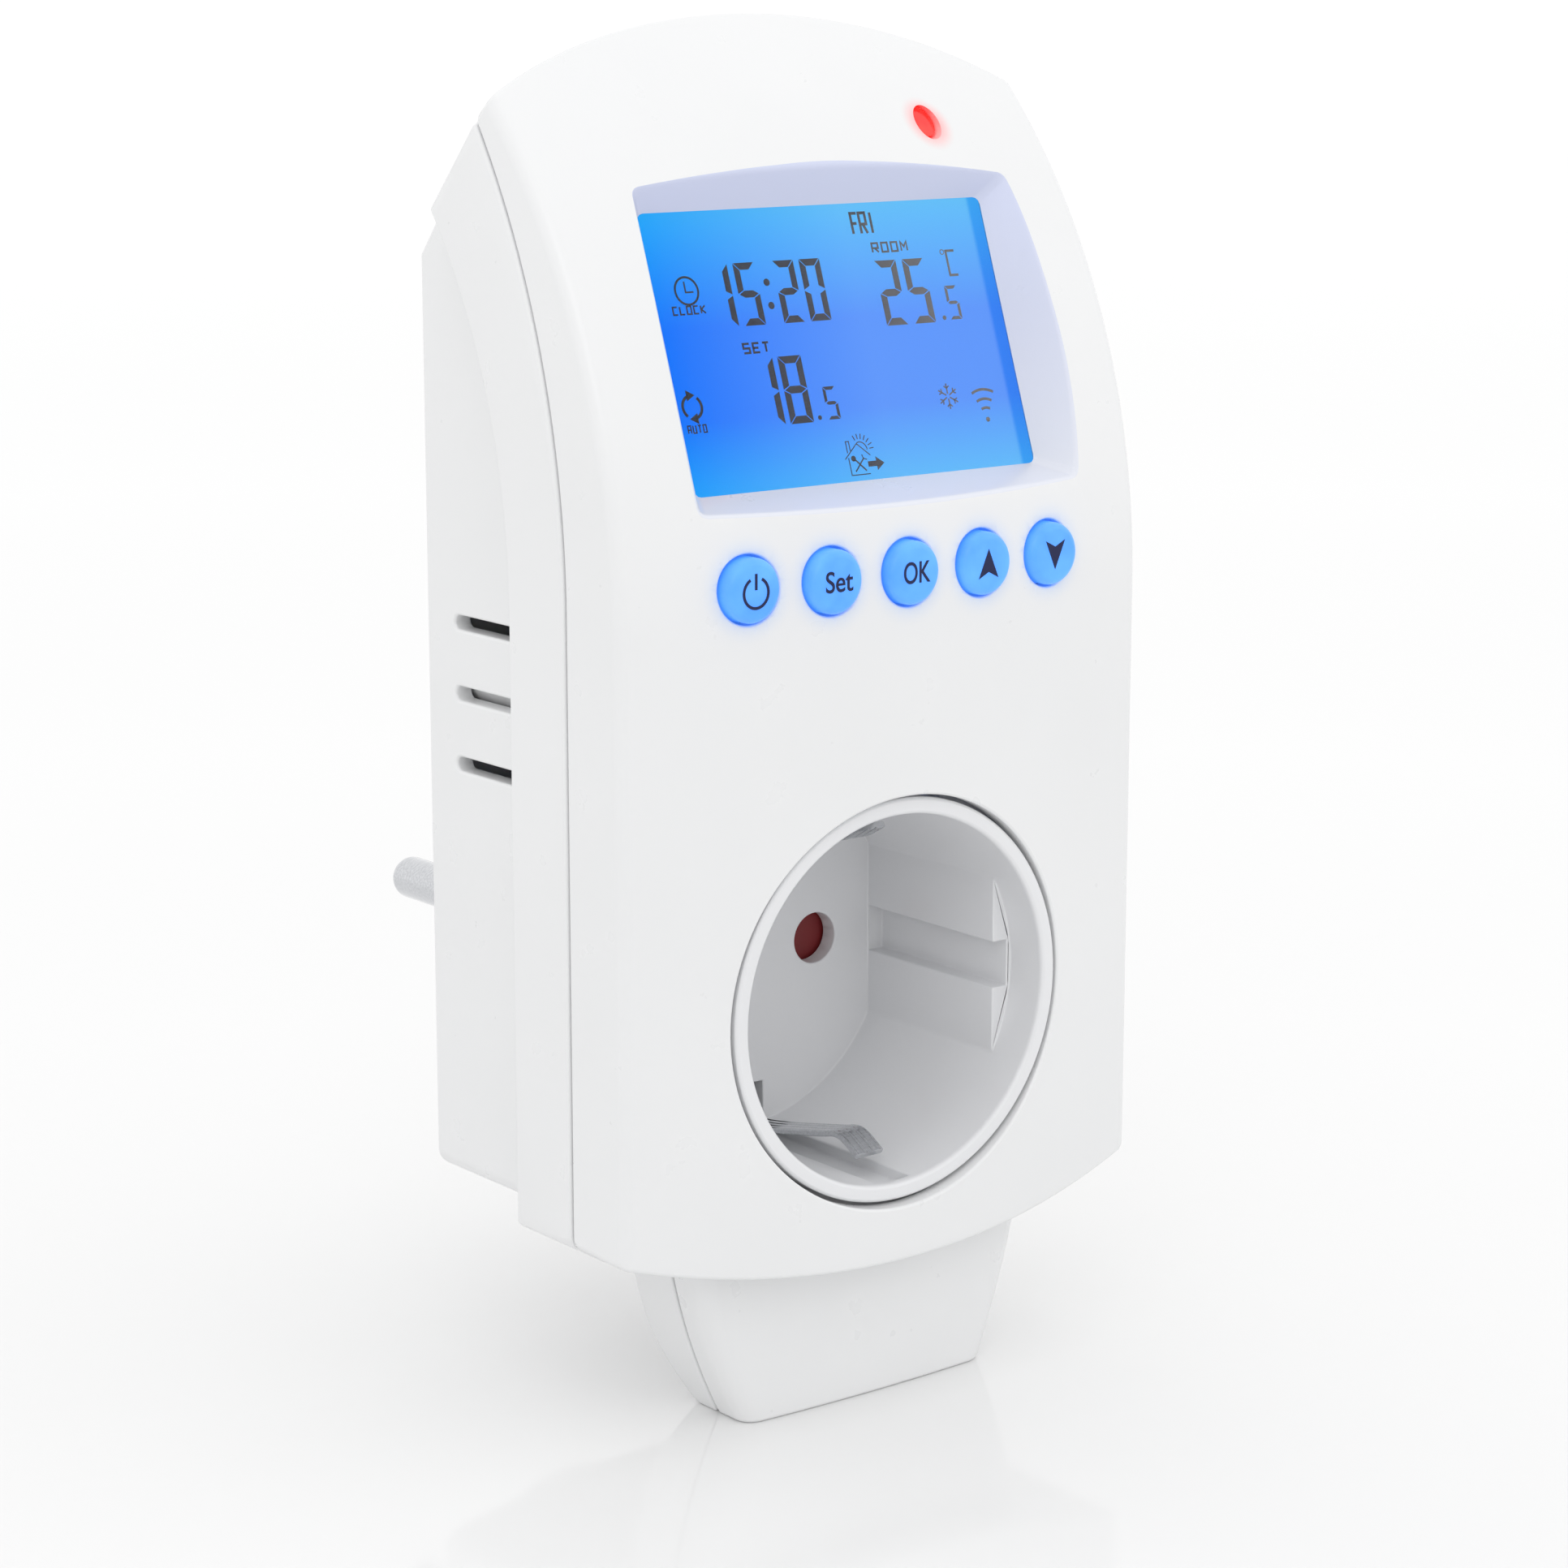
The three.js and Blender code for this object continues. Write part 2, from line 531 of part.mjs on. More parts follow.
// A sprung tube that grips a plug pin: closed at the back, slit along its length.
function pinContact(side) {
  const front = CARRIER_Y[1] + 0.4;
  const back = 46.4;
  const tube = turned([
    [0, back - 0.8], [2.5, back - 0.8], [2.5, front + 0.8], [3, front], [3.4, front], [3.4, back], [0, back],
  ], [PIN_X * side, 0], 24);
  const x = PIN_X * side;
  return tube.subtract(box([x - 5, x + 5], [front - 1, back - 3], [-0.4, 0.4]));
}

// A side-earth clip: it bulges into the recess near the front and springs from its rear end.
function earthClip(side) {
  const line = [
    [BRIDGE_Y[0] - GAP, EARTH_Z], [23.5, EARTH_Z], [12, 16.7], [9.2, 16.05], [8, 16], [6.9, 16.4],
    [4.9, 17.6],
  ];
  return strip(line.map(([y, z]) => [y, z * side]), 0.7, [-CLIP_HALF_WIDTH, CLIP_HALF_WIDTH]);
}

function earthBridge() {
  return box([-CLIP_HALF_WIDTH, CLIP_HALF_WIDTH], BRIDGE_Y, [-EARTH_Z, EARTH_Z]);
}

// ---- plug ---------------------------------------------------------------------------------------------

function plugBody() {
  const flange = { radius: 21, y: [39.5, BOX_BACK_Y - WALL - GAP] };
  const innerFace = 56.1;
  let body = turned([
    [PLUG_BORE, flange.y[0]], [flange.radius, flange.y[0]], [flange.radius, flange.y[1]],
    [PLUG_RADIUS, flange.y[1]], [PLUG_RADIUS, PLUG_FACE_Y - 1], [PLUG_RADIUS - 1, PLUG_FACE_Y],
    [0, PLUG_FACE_Y], [0, innerFace], [PLUG_BORE, innerFace], [PLUG_BORE, flange.y[0]],
  ], [0, 0], 48);
  for (const side of [-1, 1]) {
    body = body.subtract(rod(PIN_RADIUS + GAP, [PIN_X * side, 0], [50, 62], 24));
    const slot = [17.1 * side, 23 * side].sort((a, b) => a - b);
    body = body.subtract(box([-PLUG_STRIP_SLOT_HALF_WIDTH, PLUG_STRIP_SLOT_HALF_WIDTH], [38, 57.6], slot));
    const flat = [(KEY_X - 0.2) * side, 20 * side].sort((a, b) => a - b);
    body = body.subtract(box(flat, [BOX_BACK_Y + 1, 62], [-11, 11]));
  }
  return body;
}

function plugPin(side) {
  const collar = [52, 55.8];
  const tip = arcPoints(PIN_RADIUS - 1.6, PIN_TIP_Y - 1.6, 1.6, 0, Math.PI / 2, 3);
  return turned([
    [0, collar[0]], [3.4, collar[0]], [3.4, collar[1]], [PIN_RADIUS, collar[1]], ...tip, [0, PIN_TIP_Y],
  ], [PIN_X * side, 0]);
}

function plugEarthStrip(side) {
  const line = [[37.4, 17.8], [44, 17.8], [47, 18.2], [53, 18.2], [57, 17.8]];
  return strip(line.map(([y, z]) => [y, z * side]), 0.8, [-PLUG_STRIP_HALF_WIDTH, PLUG_STRIP_HALF_WIDTH]);
}

// A pressed bar between the neutral contact and the neutral pin.
function neutralLink() {
  const from = 46.7;
  const to = 51.7;
  const profile = [
    [from, -2.5], [from + 0.8, -2.5], [from + 0.8, -0.5], [to - 0.8, -0.5], [to - 0.8, -2.5], [to, -2.5],
    [to, 2.5], [to - 0.8, 2.5], [to - 0.8, 0.5], [from + 0.8, 0.5], [from + 0.8, 2.5], [from, 2.5],
  ];
  return prismX(profile, [PIN_X - 2, PIN_X + 2]);
}

function liveLeadIn() {
  return lead([
    [-9.5, 51.5, 0], [-9.5, 49.9, 1], [-9.5, 46.5, 6], [-9.5, 42, 8.2], [-9.5, 38.2, 10.5],
    [-10, 37, 21], [-12, 34, 29.5], [-13.6, 30.5, 33], [-14, 28, 33.5],
  ]);
}

function liveLeadOut() {
  return lead([
    [-13.9, 45, 0], [-14, 43, 0.3], [-13.2, 41, 2.5], [-13.6, 38.2, 7], [-14.8, 37, 16], [-16.4, 35, 26],
    [-17.3, 31, 31.5], [-17.5, 28, 32.5],
  ], 0.8);
}

function neutralLead() {
  return lead([
    [9.5, 49.2, 1.5], [9.5, 48.6, 3.5], [9.5, 46.2, 7], [9.5, 42, 8.2], [9.5, 38.2, 10.5], [10, 37, 21],
    [12, 34, 29.5], [13.6, 30.5, 33], [14, 28, 33.5],
  ]);
}

// ---- power board and what it carries ------------------------------------------------------------------

function powerBoard() {
  const outlinePoints = [
    [-18.9, 25], [18.9, 25], [18.9, 35.2], [25.6, 35.2], [25.6, 70], [-25.6, 70], [-25.6, 35.2],
    [-18.9, 35.2],
  ];
  return prismY(outlinePoints, POWER_BOARD_Y);
}

function relay() {
  const base = box([-22, -3], [PARTS_Y, PARTS_Y + 1.2], [50, 65.5]);
  return base.add(box([-21.7, -3.3], [PARTS_Y + 1, PARTS_Y + 12.8], [50.3, 65.2]));
}

function dropperCapacitor() {
  return box([2, 20], [PARTS_Y, PARTS_Y + 12], [55, 63.5]);
}

function roundPart(radius, place, height) {
  const edge = 0.5;
  const y0 = PARTS_Y;
  return turned([
    [0, y0], [radius, y0], [radius, y0 + height - edge], [radius - edge, y0 + height], [0, y0 + height],
  ], place, 24);
}

function varistor() {
  const disc = new THREE.CylinderGeometry(5, 5, 3.6, 28);
  disc.rotateX(Math.PI / 2).translate(-14, PARTS_Y + 6.6, 43);
  const legs = joined(
    box([-16.8, -16.2], [PARTS_Y, PARTS_Y + 4], [42.7, 43.3]),
    box([-11.8, -11.2], [PARTS_Y, PARTS_Y + 4], [42.7, 43.3]),
  );
  return toSolid(disc).add(legs);
}

// ---- display, buttons and boards in the front ---------------------------------------------------------

function displayFrame() {
  const outer = displayBox([-25.6, 25.6], [-17, 17], FRAME_W);
  return outer.subtract(displayBox([-23.9, 23.9], [-15.9, 15.9], [FRAME_W[0] - 1, 0]));
}

function statusLed() {
  const lens = rod(LED_RADIUS, [LED_X, LED_Z], [8, 21.5], 24).intersect(bodyBlank(0.5));
  let led = lens.add(rod(2, [LED_X, LED_Z], [21, 22.2], 24));
  for (const side of [-1, 1]) {
    const xs = [LED_X + side * 1.2 - 0.3, LED_X + side * 1.2 + 0.3];
    led = led.add(box(xs, [22, 24.3], [LED_Z - 0.3, LED_Z + 0.3]));
    led = led.add(box(xs, [23.7, 24.3], [81.6, LED_Z]));
  }
  return led;
}

// A button cap stands proud of the front, with a flange behind the wall and a short stem.
function button(i) {
  const x = buttonX(i);
  const surface = frontY(x, BUTTON_Z);
  const face = surface - BUTTON_PROUD;
  const flangeEdge = [Math.abs(x) + BUTTON_FLANGE_RADIUS, BUTTON_Z + BUTTON_FLANGE_RADIUS];
  const flangeY = frontY(...flangeEdge) + WALL + GAP;
  const flangeBack = flangeY + 0.6;
  return turned([
    [0, face], [BUTTON_RADIUS - 0.9, face], [BUTTON_RADIUS - 0.3, face + 0.3], [BUTTON_RADIUS, face + 0.9],
    [BUTTON_RADIUS, flangeY], [BUTTON_FLANGE_RADIUS, flangeY], [BUTTON_FLANGE_RADIUS, flangeBack],
    [2.2, flangeBack], [2.2, BUTTON_BACK_Y], [0, BUTTON_BACK_Y],
  ], [x, BUTTON_Z]);
}

function switchPlunger(i) {
  return rod(1.5, [buttonX(i), BUTTON_Z], [BUTTON_BACK_Y + GAP, 6.2], 20);
}

function tactSwitch(i) {
  const x = buttonX(i);
  const body = box([x - 3, x + 3], SWITCH_Y, [BUTTON_Z - 3, BUTTON_Z + 3]);
  return body.subtract(rod(1.8, [x, BUTTON_Z], [SWITCH_Y[0] - 1, SWITCH_BORE_Y], 20));
}

function sensorLead() {
  return lead([
    [0, 10.3, -35.8], [0.4, 10.6, -32], [4, 11.5, -26.8], [10, 12, -23.8], [20, 12.5, -21.7],
    [27, 13, -19.2], [29.3, 13.5, -11], [29.4, 14, 5], [29.4, 14, 22], [29.2, 14, 33], [27.6, 13.6, 41],
    [25.2, 12.8, 44.4], [24.5, 12.4, 46],
  ], 0.7, 34);
}

function temperatureSensor() {
  const bead = new THREE.CapsuleGeometry(1.5, 2, 3, 12);
  return toSolid(bead.rotateX(Math.PI / 2).translate(0, 10.3, -38.8));
}

// A self-tapping case screw, driven from the back.
function caseScrew(place) {
  const seat = SCREW_SEAT_Y + 0.2;
  return turned([
    [0, 4.6], [1.1, 5.6], [1.5, 6.6], [1.5, seat], [2.6, seat], [2.6, seat + 1.4], [1.9, seat + 2.2],
    [0, seat + 2.2],
  ], place, 20);
}

// ---- assembly -----------------------------------------------------------------------------------------

const LOOKS = {
  case_white: [0xf2f3f5, 0.35, 0],
  socket_grey: [0xd9dadd, 0.4, 0],
  inner_plastic: [0xe4e4e0, 0.5, 0],
  shutter_red: [0x5a1f1f, 0.45, 0],
  nickel: [0xc8cacc, 0.2, 1],
  brass: [0xc9a24a, 0.3, 1],
  steel: [0x8f9296, 0.35, 1],
  board_green: [0x1f6b3a, 0.5, 0],
  chip_black: [0x1b1b1d, 0.5, 0],
  relay_blue: [0x2456a8, 0.4, 0],
  capacitor_yellow: [0xd8b24a, 0.5, 0],
  can_blue: [0x26335f, 0.35, 0],
  live_brown: [0x6b3a1c, 0.5, 0],
  neutral_blue: [0x2a5fb4, 0.5, 0],
  lead_grey: [0x8d9096, 0.6, 0],
  clear_window: [0xe8f4ff, 0.05, 0],
  lcd_blue: [0x2a86ff, 0.2, 0],
  light_guide: [0xf4f8ff, 0.4, 0],
  button_blue: [0x62b0ff, 0.4, 0],
  led_red: [0xff3030, 0.2, 0],
  rubber: [0x3a3a3c, 0.8, 0],
};

const timer = new THREE.Group();
timer.position.y = -PLUG_FACE_Y;

function add(name, solid, look) {
  const [color, roughness, metalness] = LOOKS[look];
  const material = new THREE.MeshStandardMaterial({ color, roughness, metalness });
  const mesh = new THREE.Mesh(toGeometry(solid), material);
  mesh.name = name;
  timer.add(mesh);
}

add('front_cover', frontCover(), 'case_white');
add('rear_cover', rearCover(), 'case_white');
SCREW_PLACES.forEach((place, i) => add(`case_screw_${i + 1}`, caseScrew(place), 'steel'));

add('socket_insert', socketInsert(), 'socket_grey');
add('safety_shutter', safetyShutter(), 'shutter_red');
add('shutter_spring', shutterSpring(), 'steel');
add('shutter_carrier', shutterCarrier(), 'inner_plastic');
add('live_contact', pinContact(-1), 'brass');
add('neutral_contact', pinContact(1), 'brass');
add('earth_clip_top', earthClip(1), 'nickel');
add('earth_clip_bottom', earthClip(-1), 'nickel');
add('earth_bridge', earthBridge(), 'brass');

add('plug_body', plugBody(), 'case_white');
add('live_pin', plugPin(-1), 'nickel');
add('neutral_pin', plugPin(1), 'nickel');
add('plug_earth_strip_top', plugEarthStrip(1), 'nickel');
add('plug_earth_strip_bottom', plugEarthStrip(-1), 'nickel');
add('neutral_link', neutralLink(), 'brass');
add('live_lead_in', liveLeadIn(), 'live_brown');
add('live_lead_out', liveLeadOut(), 'live_brown');
add('neutral_lead', neutralLead(), 'neutral_blue');

add('power_board', powerBoard(), 'board_green');
add('relay', relay(), 'relay_blue');
add('dropper_capacitor', dropperCapacitor(), 'capacitor_yellow');
add('smoothing_capacitor', roundPart(4, [8, 45], 11), 'can_blue');
add('fuse', roundPart(4.2, [0, 37], 7.5), 'live_brown');
add('varistor', varistor(), 'neutral_blue');
const boardLine = [[15.6, 52], [18, 50.4], [21.5, 49], [24, 48.6], [25.6, 48.6]];
add('board_lead', strip(boardLine, 0.8, [-6, 6]), 'lead_grey');

add('display_window', displayBox([-23.6, 23.6], [-15.6, 15.6], WINDOW_W), 'clear_window');
add('lcd_glass', displayBox([-23.4, 23.4], [-15.4, 15.4], GLASS_W), 'lcd_blue');
add('display_backlight', displayBox([-22.6, 22.6], [-12.4, 14.8], BACKLIGHT_W), 'light_guide');
add('lcd_connector', displayBox([-21, 21], [-15.2, -12.9], CONNECTOR_W), 'rubber');
add('display_frame', displayFrame(), 'inner_plastic');
add('display_board', displayBox([-26, 26], [-18, 18], DISPLAY_BOARD_W), 'board_green');
add('microcontroller', displayBox([-6, 6], [-5, 7], CHIP_W), 'chip_black');
add('backup_battery', displayBox([12, 23], [-7, 4], BATTERY_W), 'nickel');
add('status_led', statusLed(), 'led_red');

add('button_board', box([-24, 24], BUTTON_BOARD_Y, [38.4, 48.4]), 'board_green');
BUTTON_NAMES.forEach((name, i) => {
  add(`button_${name}`, button(i), 'button_blue');
  add(`plunger_${name}`, switchPlunger(i), 'chip_black');
  add(`switch_${name}`, tactSwitch(i), 'steel');
});
const ribbonLine = [[9.3, 42], [12, 41.6], [15.2, 43.6], [15.9, 46.6], [14.6, 48.2]];
add('button_board_lead', strip(ribbonLine, 0.5, [-20, -10]), 'lead_grey');

add('temperature_sensor', temperatureSensor(), 'chip_black');
add('sensor_lead', sensorLead(), 'lead_grey');

export default timer;
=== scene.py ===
"""Looks of a plug-in heating timer with a mains socket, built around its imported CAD.

The shapes are made in millimetres in the case's frame, where Y = 0 is the rim of the socket and X = Z = 0
is its axis. finished() moves each one into the row frame, in metres.
"""

import math

import bmesh
import bpy
from mathutils import Matrix, Vector
from mathutils.kdtree import KDTree


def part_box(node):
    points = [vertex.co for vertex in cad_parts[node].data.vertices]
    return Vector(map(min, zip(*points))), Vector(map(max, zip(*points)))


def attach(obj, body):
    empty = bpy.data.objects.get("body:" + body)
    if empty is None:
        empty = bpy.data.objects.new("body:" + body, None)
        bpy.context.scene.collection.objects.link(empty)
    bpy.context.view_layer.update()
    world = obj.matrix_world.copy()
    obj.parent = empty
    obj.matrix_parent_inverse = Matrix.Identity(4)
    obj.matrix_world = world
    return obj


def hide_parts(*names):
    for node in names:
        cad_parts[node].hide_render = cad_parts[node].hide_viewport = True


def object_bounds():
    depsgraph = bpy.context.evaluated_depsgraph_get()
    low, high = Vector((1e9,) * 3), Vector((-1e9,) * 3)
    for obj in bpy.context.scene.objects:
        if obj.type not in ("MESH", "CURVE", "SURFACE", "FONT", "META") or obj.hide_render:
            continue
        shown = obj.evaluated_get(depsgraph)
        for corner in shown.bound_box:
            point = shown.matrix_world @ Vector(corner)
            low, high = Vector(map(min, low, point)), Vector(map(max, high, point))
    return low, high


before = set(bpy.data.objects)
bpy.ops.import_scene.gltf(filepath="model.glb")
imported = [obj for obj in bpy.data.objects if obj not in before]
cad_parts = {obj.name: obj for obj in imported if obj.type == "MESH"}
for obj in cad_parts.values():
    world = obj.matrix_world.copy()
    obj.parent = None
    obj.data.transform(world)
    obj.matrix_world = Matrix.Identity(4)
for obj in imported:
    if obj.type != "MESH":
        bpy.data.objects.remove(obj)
cad_low, cad_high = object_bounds()

# ---- driving dimensions, in millimetres -----------------------------------------------------------------

MM = 0.001
RIM_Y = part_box("socket_insert")[0].y
TO_ROW = Matrix.Translation((0, RIM_Y, 0)) @ Matrix.Scale(MM, 4)

WALL = 2.0
GAP = 0.3
FAR = 150.0
BEHIND_Y = 60.0
IN_FRONT_Y = -40.0

CASE_HALF_WIDTH = 34.48
FRONT_HALF_WIDTH = 33.9
BAND_HALF_WIDTH = 34.1
FRONT_Y = -1.1
FRONT_CORNER = 1.5
CROWN_RADIUS = 190.0
LEAN_Z = 40.0
LEAN_RADIUS = 77.5
LEAN_TURN = math.radians(58)
SWEEP_DEPTH = 34.0
LOW_Z = -30.0
SEAM = {"y": 10.1, "start_z": 42.0, "radius": 82.5, "top_z": 110.0}
BAND_REAR = {"y": 20.3, "start_z": 42.0, "radius": 64.0, "top_z": 102.0}
TOP_SLOPE = math.tan(math.radians(47))
TOP_ARCH = {"apex": 106.5, "radius": 53.9}
TOP_ARCH_Y = 20.0
BOTTOM_ARCH = {"apex": -27.6, "radius": 115.0}
OUTLINE_CORNER = 2.0

BOX_HALF_WIDTH = 28.6
BOX_BEHIND_SEAM = 4.0
BOX_BACK_Y = 43.5
BOX_TOP_BACK_Z = 75.0
BOX_SLOPE = math.radians(50)
BOX_TOP_ARCH = {"apex": 87.3, "radius": 79.5}
BOX_BOTTOM_ARCH = {"apex": -26.0, "radius": 115.0}

FOOT_BOTTOM_Z = -43.9
FOOT_TOP_Z = -18.0
FOOT_FRONT_Y = 4.5
FOOT_BACK_Y = 18.1
FOOT_BACK_ROUND = 4.0
FOOT_ROUND_Z = -33.0
FOOT_HALF_WIDTH = 23.5
FOOT_SIDE_Z = -14.0
FOOT_SIDE_RADIUS = 64.5
FOOT_CROWN = 0.8
FOOT_CORNER = 2.5
FOOT_BACK_CORNER = 1.5

VENT_Z = (22.4, 29.9, 37.4)
VENT_HEIGHT = 1.5
VENT_Y = (23.0, 38.4)

SCREW_PLACES = [(-22.8, -16.0), (22.8, -16.0), (-22.8, 31.0), (22.8, 31.0)]
PILLAR_RADIUS = 3.6
PILLAR_FRONT_Y = 14.15
SCREW_SEAT_Y = 16.5

PIN_X = 9.5
PIN_RADIUS = 2.4
PIN_HOLE_RADIUS = 2.8
RECESS_RADIUS = 19.5
RECESS_FLOOR_Y = 26.0
FLOOR_BACK_Y = 28.2
RIM_RADIUS = 21.27
SOCKET_HOLE_RADIUS = 21.71
KEY_X = 17.0
KEY_FRONT_Y = 5.1
BOSS_RADIUS = 2.6
BOSS_BACK_Y = 35.2
CLIP_HALF_WIDTH = 1.8
CLIP_SLOT_HALF_WIDTH = 2.3
CLIP_SLOT_FRONT_Y = 1.2
CLIP_SLOT_Z = (14.9, 20.5)
PLUG_RADIUS = 18.5
PLUG_BORE = 15.0
PLUG_FACE_Y = 59.9
PIN_TIP_Y = 78.9

DISPLAY_CENTRE = (0.0, 9.95, 66.8)
DISPLAY_LEAN = math.radians(19.3)
WINDOW_HALF = (22.15, 14.3)
FLARE_LEFT = 0.7
FLARE_RIGHT = 0.83
FLARE_RIGHT_AT_TOP = 0.6
FLARE_TOP = 1.09
FLARE_BOTTOM = 0.75
FLARE_W = (-0.5, 8.0)
FLARE_CORNER = 0.8
LCD_FACE_W = -1.6

BUTTON_Z = 44.64
BUTTON_PITCH = 9.75
BUTTON_NAMES = ("power", "set", "ok", "up", "down")
BUTTON_RADIUS = 3.25
BUTTON_HOLE_RADIUS = 3.5
BUTTON_FLANGE_RADIUS = 3.9
BUTTON_PROUD = 1.15
BUTTON_BACK_Y = 3.8

LED_PLACE = (16.75, 88.1)
LED_RADIUS = 1.45
LED_HOLE_RADIUS = 1.7

OUTER, INNER, LIT = 0, 1, 2        # face tags: outside skin, hidden inside, and the walls that the display lights

DISPLAY_TO_CASE = Matrix.Translation(DISPLAY_CENTRE) @ Matrix.Rotation(math.pi / 2 - DISPLAY_LEAN, 4, "X")

# ---- outlines -------------------------------------------------------------------------------------------


def spread(low, high, steps):
    """steps + 1 evenly spaced values from low to high."""
    return [low + (high - low) * i / steps for i in range(steps + 1)]


def arc(cx, cy, radius, start, end, steps):
    return [(cx + radius * math.cos(a), cy + radius * math.sin(a)) for a in spread(start, end, steps)]


def crown_drop(x):
    """How far the crowned front falls back at a distance x from mid width."""
    return CROWN_RADIUS - math.sqrt(CROWN_RADIUS**2 - x**2)


def front_y(x, z):
    rise = max(z - LEAN_Z, 0)
    return FRONT_Y + LEAN_RADIUS - math.sqrt(LEAN_RADIUS**2 - rise**2) + crown_drop(x)


def arch_outline(half_width, apex, radius, side):
    """An outline in (x, z), straight at the sides and arched at the top (side 1) or bottom (side -1)."""
    centre = side * apex - radius
    reach = half_width - OUTLINE_CORNER
    corner_z = centre + math.sqrt((radius - OUTLINE_CORNER) ** 2 - reach**2)
    turn = math.atan2(corner_z - centre, reach)
    right = arc(reach, corner_z, OUTLINE_CORNER, 0, turn, 5)
    arch = arc(0, centre, radius, turn, math.pi - turn, 44)[1:-1]
    left = arc(-reach, corner_z, OUTLINE_CORNER, math.pi - turn, math.pi, 5)
    points = [(half_width, -FAR), *right, *arch, *left, (-half_width, -FAR)]
    return [(x, side * z) for x, z in points]


# ---- solids ---------------------------------------------------------------------------------------------


def link(mesh, name):
    made = bpy.data.objects.new(name, mesh)
    bpy.context.scene.collection.objects.link(made)
    return made


def solid(rings, tag=OUTER, closed=False):
    """A solid through rings of points, with flat ends, or joined end to end where closed."""
    count = len(rings[0])
    verts = [point for ring in rings for point in ring]
    total = len(verts)
    faces = [] if closed else [list(range(count)), list(range(total - count, total))]
    for i in range(len(rings) if closed else len(rings) - 1):
        for j in range(count):
            a = i * count + j
            b = i * count + (j + 1) % count
            faces.append((a, b, (b + count) % total, (a + count) % total))
    mesh = bpy.data.meshes.new("solid")
    mesh.from_pydata(verts, [], faces)
    for _ in (OUTER, INNER, LIT):
        mesh.materials.append(None)
    for polygon in mesh.polygons:
        polygon.material_index = tag
    edit = bmesh.new()
    edit.from_mesh(mesh)
    bmesh.ops.recalc_face_normals(edit, faces=edit.faces)
    edit.to_mesh(mesh)
    edit.free()
    return link(mesh, "solid")


def prism_x(points, span, tag=OUTER):
    return solid([[(x, y, z) for y, z in points] for x in span], tag)


def prism_y(points, span, tag=OUTER):
    return solid([[(x, y, z) for x, z in points] for y in span], tag)


def block(xs, ys, zs, tag=OUTER):
    return prism_x([(ys[0], zs[0]), (ys[1], zs[0]), (ys[1], zs[1]), (ys[0], zs[1])], xs, tag)


def turned(profile, place=(0, 0), sides=96, tag=OUTER):
    """A turned piece about an axis along Y. The profile is a list of (radius, y)."""
    turns = spread(0, 2 * math.pi, sides)[:-1]
    x, z = place
    rings = [[(x + r * math.cos(a), y, z + r * math.sin(a)) for a in turns] for r, y in profile]
    return solid(rings, tag)


def rod(radius, place, span, sides=64, tag=OUTER):
    return turned([(radius, y) for y in span], place, sides, tag)


def display_block(us, vs, ws, tag=OUTER):
    made = block(us, vs, ws, tag)
    made.data.transform(DISPLAY_TO_CASE)
    return made


def combined(target, tool, operation):
    modifier = target.modifiers.new("combine", "BOOLEAN")
    modifier.operation = operation
    modifier.solver = "EXACT"
    modifier.object = tool
    shown = target.evaluated_get(bpy.context.evaluated_depsgraph_get())
    mesh = bpy.data.meshes.new_from_object(shown)
    target.modifiers.clear()
    target.data = mesh
    bpy.data.objects.remove(tool)
    return target


def joined(target, *others):
    for other in others:
        target = combined(target, other, "UNION")
    return target


def without(target, *tools):
    for tool in tools:
        target = combined(target, tool, "DIFFERENCE")
    return target


def within(target, *limits):
    for limit in limits:
        target = combined(target, limit, "INTERSECT")
    return target


def copied(source):
    made = source.copy()
    made.data = source.data.copy()
    bpy.context.scene.collection.objects.link(made)
    return made


def together(pieces):
    """One object of several separate solids."""
    first, *rest = pieces
    edit = bmesh.new()
    edit.from_mesh(first.data)
    for piece in rest:
        edit.from_mesh(piece.data)
        bpy.data.objects.remove(piece)
    edit.to_mesh(first.data)
    edit.free()
    return first


# ---- the case's blanks ----------------------------------------------------------------------------------


def half_section(inset):
    """Right half of the level section as (x, height above the mid-width front), from the middle out."""
    flat = FRONT_HALF_WIDTH - inset - FRONT_CORNER
    front = [(x, -inset - crown_drop(x)) for x in spread(0, flat, 24)]
    edge = -inset - crown_drop(flat) - FRONT_CORNER
    corner = arc(flat, edge, FRONT_CORNER, math.pi / 2, 0, 6)[1:]
    side = [
        (CASE_HALF_WIDTH - inset, FRONT_Y - SEAM["y"]),
        (BAND_HALF_WIDTH - inset, FRONT_Y - BAND_REAR["y"]),
        (BAND_HALF_WIDTH - inset, -SWEEP_DEPTH),
    ]
    return [*front, *corner, *side]


def lean_stations():
    """(y, z, lean angle) up the front's middle line: upright, then an arc that leans back."""
    upright = [(FRONT_Y, z, 0.0) for z in spread(LOW_Z, LEAN_Z, 36)[:-1]]
    leaning = []
    for angle in spread(0, LEAN_TURN, 44):
        y = FRONT_Y + LEAN_RADIUS * (1 - math.cos(angle))
        leaning.append((y, LEAN_Z + LEAN_RADIUS * math.sin(angle), angle))
    return upright + leaning


def in_front_of(y, start_z, radius, top_z):
    """Everything in front of a line that goes straight up and then leans back along an arc."""
    turn = math.asin((top_z - start_z) / radius)
    line = [(y + radius * (1 - math.cos(a)), start_z + radius * math.sin(a)) for a in spread(0, turn, 40)]
    points = [(y, -FAR), *line, (-FAR, top_z), (-FAR, -FAR)]
    return prism_x(points, (-FAR, FAR))


def seam_at(shift):
    return in_front_of(SEAM["y"] + shift, SEAM["start_z"], SEAM["radius"], SEAM["top_z"])


